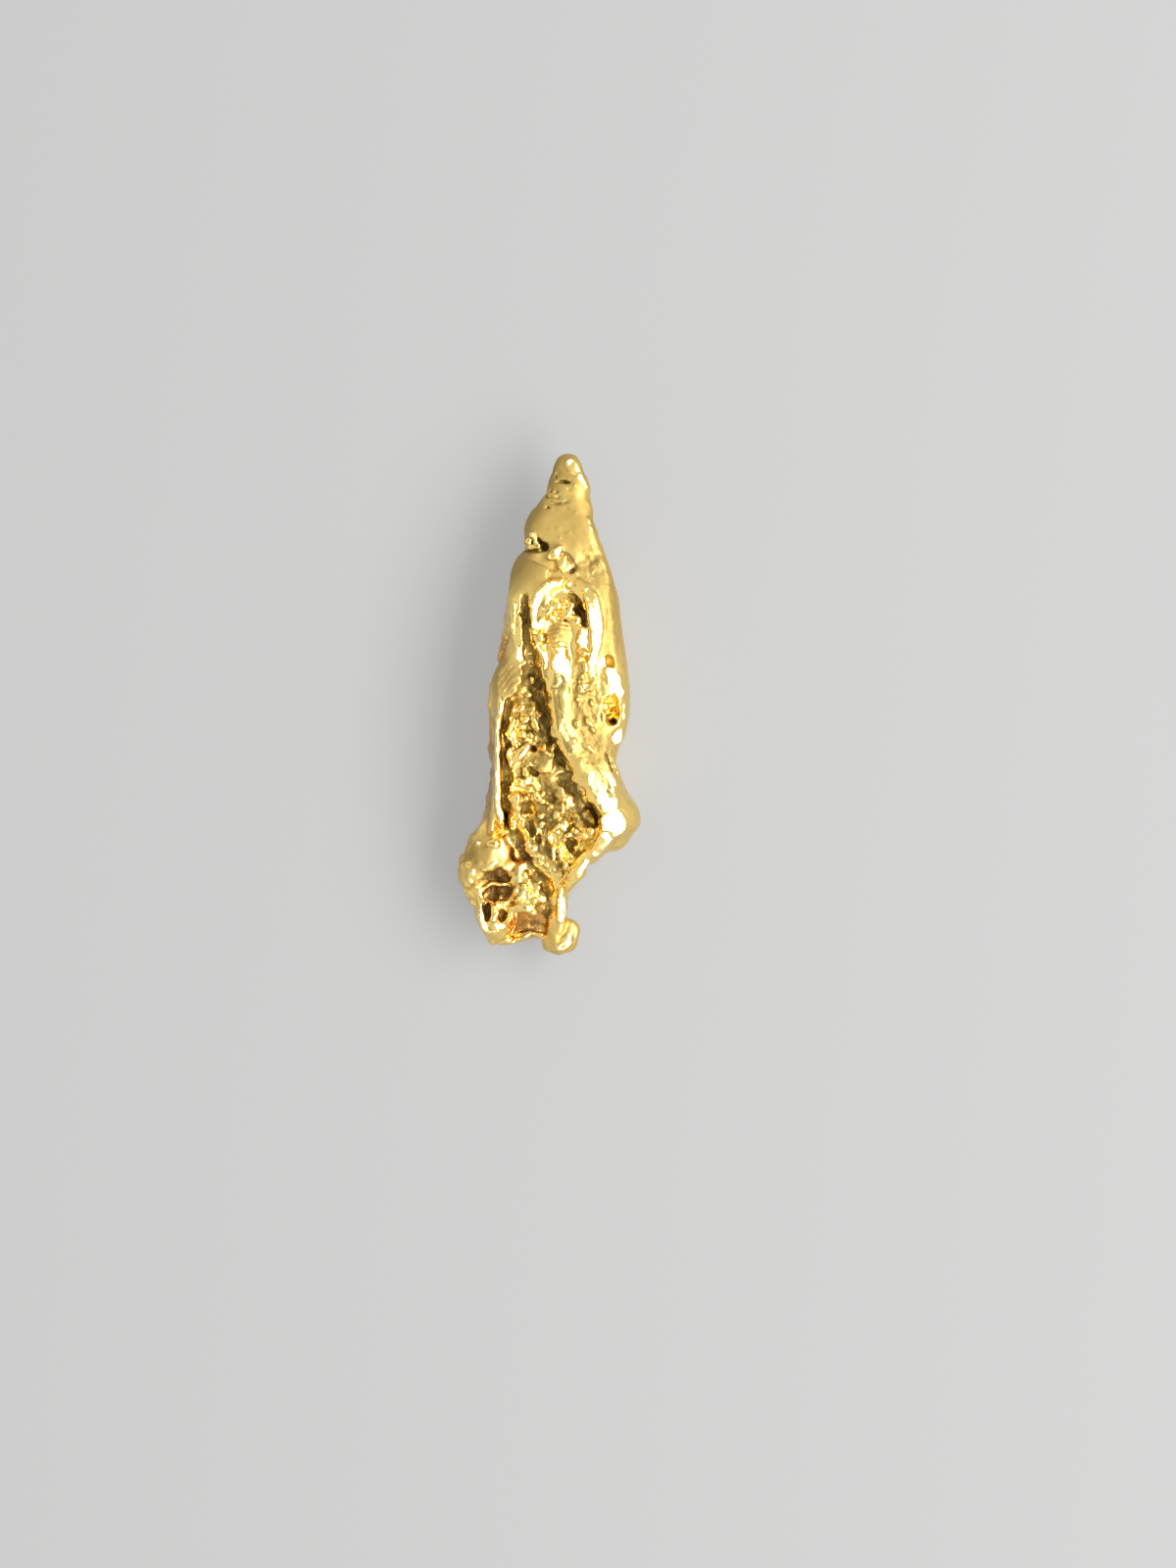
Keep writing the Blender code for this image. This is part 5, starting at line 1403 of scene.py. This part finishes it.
def table_material(studio):
    """A matt pale table that gives part of its light itself, so that the nugget's shadow on it stays soft."""
    material = bpy.data.materials.new("pale_table")
    material.use_nodes = True
    shader = material.node_tree.nodes["Principled BSDF"]
    shader.inputs["Base Color"].default_value = (*studio.floor, 1.0)
    shader.inputs["Roughness"].default_value = 0.8
    shader.inputs["Emission Color"].default_value = (1.0, 1.0, 0.985, 1.0)
    shader.inputs["Emission Strength"].default_value = studio.table_light
    return material


# Settings

class NuggetForm(PropertyGroup):
    """How fine the skin is. The forms themselves are in the tables above."""

    skin_step: FloatProperty(
        name="Skin step", description="Distance between grid points of the finished skin, in millimetres",
        default=0.034, min=0.02, max=0.2,
    )
    quick_step: FloatProperty(
        name="Quick skin step", description="The same distance for a quick look, in millimetres",
        default=0.05, min=0.03, max=0.2,
    )
    relief: FloatProperty(
        name="Relief", description="Height of the grains and pits, as a share of the usual", default=1.0,
        min=0, max=2, subtype="FACTOR",
    )
    most_triangles: IntProperty(
        name="Most triangles", description="The skin is thinned to this many triangles where it is smooth",
        default=194000, min=10000,
    )


class NuggetLook(PropertyGroup):
    """The gold's colours and how rough it is."""

    gold: FloatVectorProperty(
        name="Gold", description="Colour of clean gold", default=(0.90, 0.645, 0.20), subtype="COLOR",
        min=0, max=1,
    )
    dull_gold: FloatVectorProperty(
        name="Dull gold", description="Colour of the satin gold", default=(0.39, 0.277, 0.085),
        subtype="COLOR", min=0, max=1,
    )
    # The colour of the painted reflection of gold in gold, in small hollows and creases
    gold_reflection: FloatVectorProperty(
        name="Gold_Reflection", description="Colour of the gold in small hollows", default=(0.86, 0.60, 0.11),
        subtype="COLOR", min=0, max=1,
    )
    # The colour of the painted shade in hollows, grooves and pits, and of the soil in them
    shade_and_soil_gold: FloatVectorProperty(
        name="Deep gold", description="Colour of the soiled gold in the hollows",
        default=(0.23, 0.162, 0.045), subtype="COLOR", min=0, max=1,
    )
    # The colour of the iron stain, which at the left also stands for a painted warm reflection
    iron_stain_and_warm_reflection: FloatVectorProperty(
        name="Iron stain", description="Colour of the gold where iron has stained it",
        default=(0.52, 0.24, 0.052), subtype="COLOR", min=0, max=1,
    )
    # The colour of the painted shade and the soil where iron has stained the gold
    rust_and_shade: FloatVectorProperty(
        name="Rust_And_Shade", description="Colour of the soil where iron has stained it",
        default=(0.115, 0.050, 0.018), subtype="COLOR", min=0, max=1,
    )
    bright: FloatProperty(
        name="Bright roughness", description="Roughness of the bright metal", default=0.16, min=0, max=1,
        subtype="FACTOR",
    )
    satin: FloatProperty(
        name="Satin roughness", description="Roughness of the satin metal", default=0.66, min=0, max=1,
        subtype="FACTOR",
    )


class StudioLook(PropertyGroup):
    """The floor, the room and the soft box."""

    floor: FloatVectorProperty(
        name="Floor", description="Colour of the floor", default=(0.11, 0.112, 0.115), subtype="COLOR",
        min=0, max=1,
    )
    table_light: FloatProperty(
        name="Table light", description="Light that the pale table gives by itself", default=0.33, min=0,
    )
    room: FloatProperty(name="Room", description="Brightness of the room at the right", default=0.78, min=0)
    room_left: FloatProperty(
        name="Room, left", description="Brightness of the room at the left", default=0.95, min=0,
    )
    overhead: FloatProperty(name="Overhead", description="Brightness straight above", default=0.36, min=0)
    dark_core: FloatProperty(
        name="Dark core", description="Half angle of the dark place above, in degrees", default=8.0,
    )
    dark_edge: FloatProperty(
        name="Dark edge", description="Half angle at which the room is pale again, in degrees",
        default=24.0,
    )
    key_light: FloatProperty(
        name="Key light", description="Brightness of the soft box", default=10.0, min=0,
    )
    key_turn: FloatProperty(
        name="Key turn", description="Direction of the soft box from +X, in degrees", default=-8.0,
    )
    key_height: FloatProperty(
        name="Key height", description="Height of the soft box above the floor, in degrees", default=47.0,
    )


# Operators

def in_scene(thing):
    bpy.context.scene.collection.objects.link(thing)
    return thing


class NUGGET_OT_make_nugget(Operator):
    """Make the nugget's skin and its gold, in the place of the plain solid"""

    bl_idname = "nugget.make_nugget"
    bl_label = "Nugget"

    def execute(self, context):
        form, look = context.scene.nugget_form, context.scene.nugget_look
        metal = sculpt(form.skin_step, form.relief)
        points, faces = skin(metal)
        mesh = mesh_from("nugget_skin", points + DRAWING_TO_FRAME, faces)
        mark_skin(mesh, metal, points)
        piece = in_scene(bpy.data.objects.new("nugget_skin", mesh))
        triangles = 2 * len(faces)
        if triangles > form.most_triangles:
            thin = piece.modifiers.new("Thin where smooth", "DECIMATE")
            thin.ratio = form.most_triangles / triangles
        piece.data.materials.append(gold_material(look))
        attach(piece, "root")
        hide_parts("nugget")
        return {"FINISHED"}


# The stage in millimetres: half the floor, the soft box, how far it is, and the camera's view and distance
FLOOR_HALF = 400.0
KEY_WIDE = 250.0
KEY_HIGH = 80.0
KEY_DISTANCE = 140.0
FRAME_HEIGHT = 35.56
FRAME_MIDDLE = (0.84, -1.78)
CAMERA_DISTANCE = 100.0
SENSOR_HEIGHT = 24.0

# The height above the floor where the view is FRAME_HEIGHT high
MEASURED_HEIGHT = 1.5


def pale_floor(studio):
    half = FLOOR_HALF
    corners = np.array([(-half, -half, 0), (half, -half, 0), (half, half, 0), (-half, half, 0)], float)
    piece = in_scene(bpy.data.objects.new("floor", mesh_from("floor", corners, np.array([[0, 1, 2, 3]]))))
    piece.data.materials.append(table_material(studio))


def studio_world(studio):
    """A pale room, a little brighter at the left, and darker straight above, where the camera is."""
    world = bpy.data.worlds.new("studio")
    world.use_nodes = True
    nodes = Nodes(world.node_tree)
    direction = nodes.add("ShaderNodeTexCoord").outputs["Generated"]
    part = nodes.add("ShaderNodeSeparateXYZ", {"Vector": direction}).outputs
    edge, core = (math.cos(math.radians(angle)) for angle in (studio.dark_edge, studio.dark_core))
    overhead = nodes.spread(part["Z"], edge, core)
    right = nodes.spread(part["X"], -0.5, 0.5)
    room = nodes.blend(right, (*(studio.room_left,) * 3, 1.0), (*(studio.room,) * 3, 1.0))
    light = nodes.blend(overhead, room, (*(studio.overhead,) * 3, 1.0))
    nodes.set(world.node_tree.nodes["Background"].inputs["Color"], light)
    return world


def soft_box(studio):
    """A large rectangular light at the right, facing the nugget."""
    turn, rise = math.radians(studio.key_turn), math.radians(studio.key_height)
    place = (
        KEY_DISTANCE * math.cos(turn) * math.cos(rise),
        KEY_DISTANCE * math.sin(turn) * math.cos(rise),
        KEY_DISTANCE * math.sin(rise),
    )
    light = bpy.data.lights.new("key", "AREA")
    light.shape = "RECTANGLE"
    light.size, light.size_y = KEY_WIDE * MM, KEY_HIGH * MM
    light.energy = studio.key_light * math.pi * KEY_WIDE * KEY_HIGH * MM**2
    light.color = (1.0, 0.98, 0.95)
    thing = in_scene(bpy.data.objects.new("key", light))
    thing.location = Vector(place) * MM
    thing.rotation_euler = Vector(place).to_track_quat("Z", "Y").to_euler()


def camera_above():
    """A camera that looks straight down, with the nugget a little above and left of its view's middle."""
    middle = Vector((FRAME_MIDDLE[0] + DRAWING_TO_FRAME[0], FRAME_MIDDLE[1] + DRAWING_TO_FRAME[1], 0))
    camera = bpy.data.cameras.new("camera")
    camera.sensor_fit = "VERTICAL"
    camera.sensor_height = SENSOR_HEIGHT
    camera.lens = camera.sensor_height * CAMERA_DISTANCE / FRAME_HEIGHT
    camera.clip_start, camera.clip_end = 1 * MM, 2000 * MM
    thing = in_scene(bpy.data.objects.new("camera", camera))
    thing.location = (middle + Vector((0, 0, CAMERA_DISTANCE + MEASURED_HEIGHT))) * MM
    return thing


class NUGGET_OT_make_stage(Operator):
    """Make the pale floor, the soft light and the camera that looks straight down on the nugget"""

    bl_idname = "nugget.make_stage"
    bl_label = "Stage"

    def execute(self, context):
        scene, studio = context.scene, context.scene.nugget_studio
        pale_floor(studio)
        scene.world = studio_world(studio)
        soft_box(studio)
        scene.view_settings.view_transform = "Standard"
        scene.camera = camera_above()
        return {"FINISHED"}


class NUGGET_PT_panel(Panel):
    """Lists the sizes, the colours and what can be made"""

    bl_idname = "NUGGET_PT_panel"
    bl_label = "Gold nugget"
    bl_space_type = "VIEW_3D"
    bl_region_type = "UI"
    bl_category = "Nugget"

    def draw(self, context):
        scene = context.scene
        for group in (scene.nugget_form, scene.nugget_look, scene.nugget_studio):
            for name in group.__annotations__:
                self.layout.prop(group, name)
        for operator in OPERATORS:
            self.layout.operator(operator.bl_idname)


OPERATORS = (NUGGET_OT_make_nugget, NUGGET_OT_make_stage)
GROUPS = (("nugget_form", NuggetForm), ("nugget_look", NuggetLook), ("nugget_studio", StudioLook))


def register():
    for name, group in GROUPS:
        bpy.utils.register_class(group)
        setattr(bpy.types.Scene, name, PointerProperty(type=group))
    for one in OPERATORS + (NUGGET_PT_panel,):
        bpy.utils.register_class(one)


def unregister():
    for one in reversed(OPERATORS + (NUGGET_PT_panel,)):
        bpy.utils.unregister_class(one)
    for name, group in reversed(GROUPS):
        delattr(bpy.types.Scene, name)
        bpy.utils.unregister_class(group)


def main():
    register()
    bpy.ops.nugget.make_nugget()
    bpy.ops.nugget.make_stage()


if __name__ == "__main__":
    main()
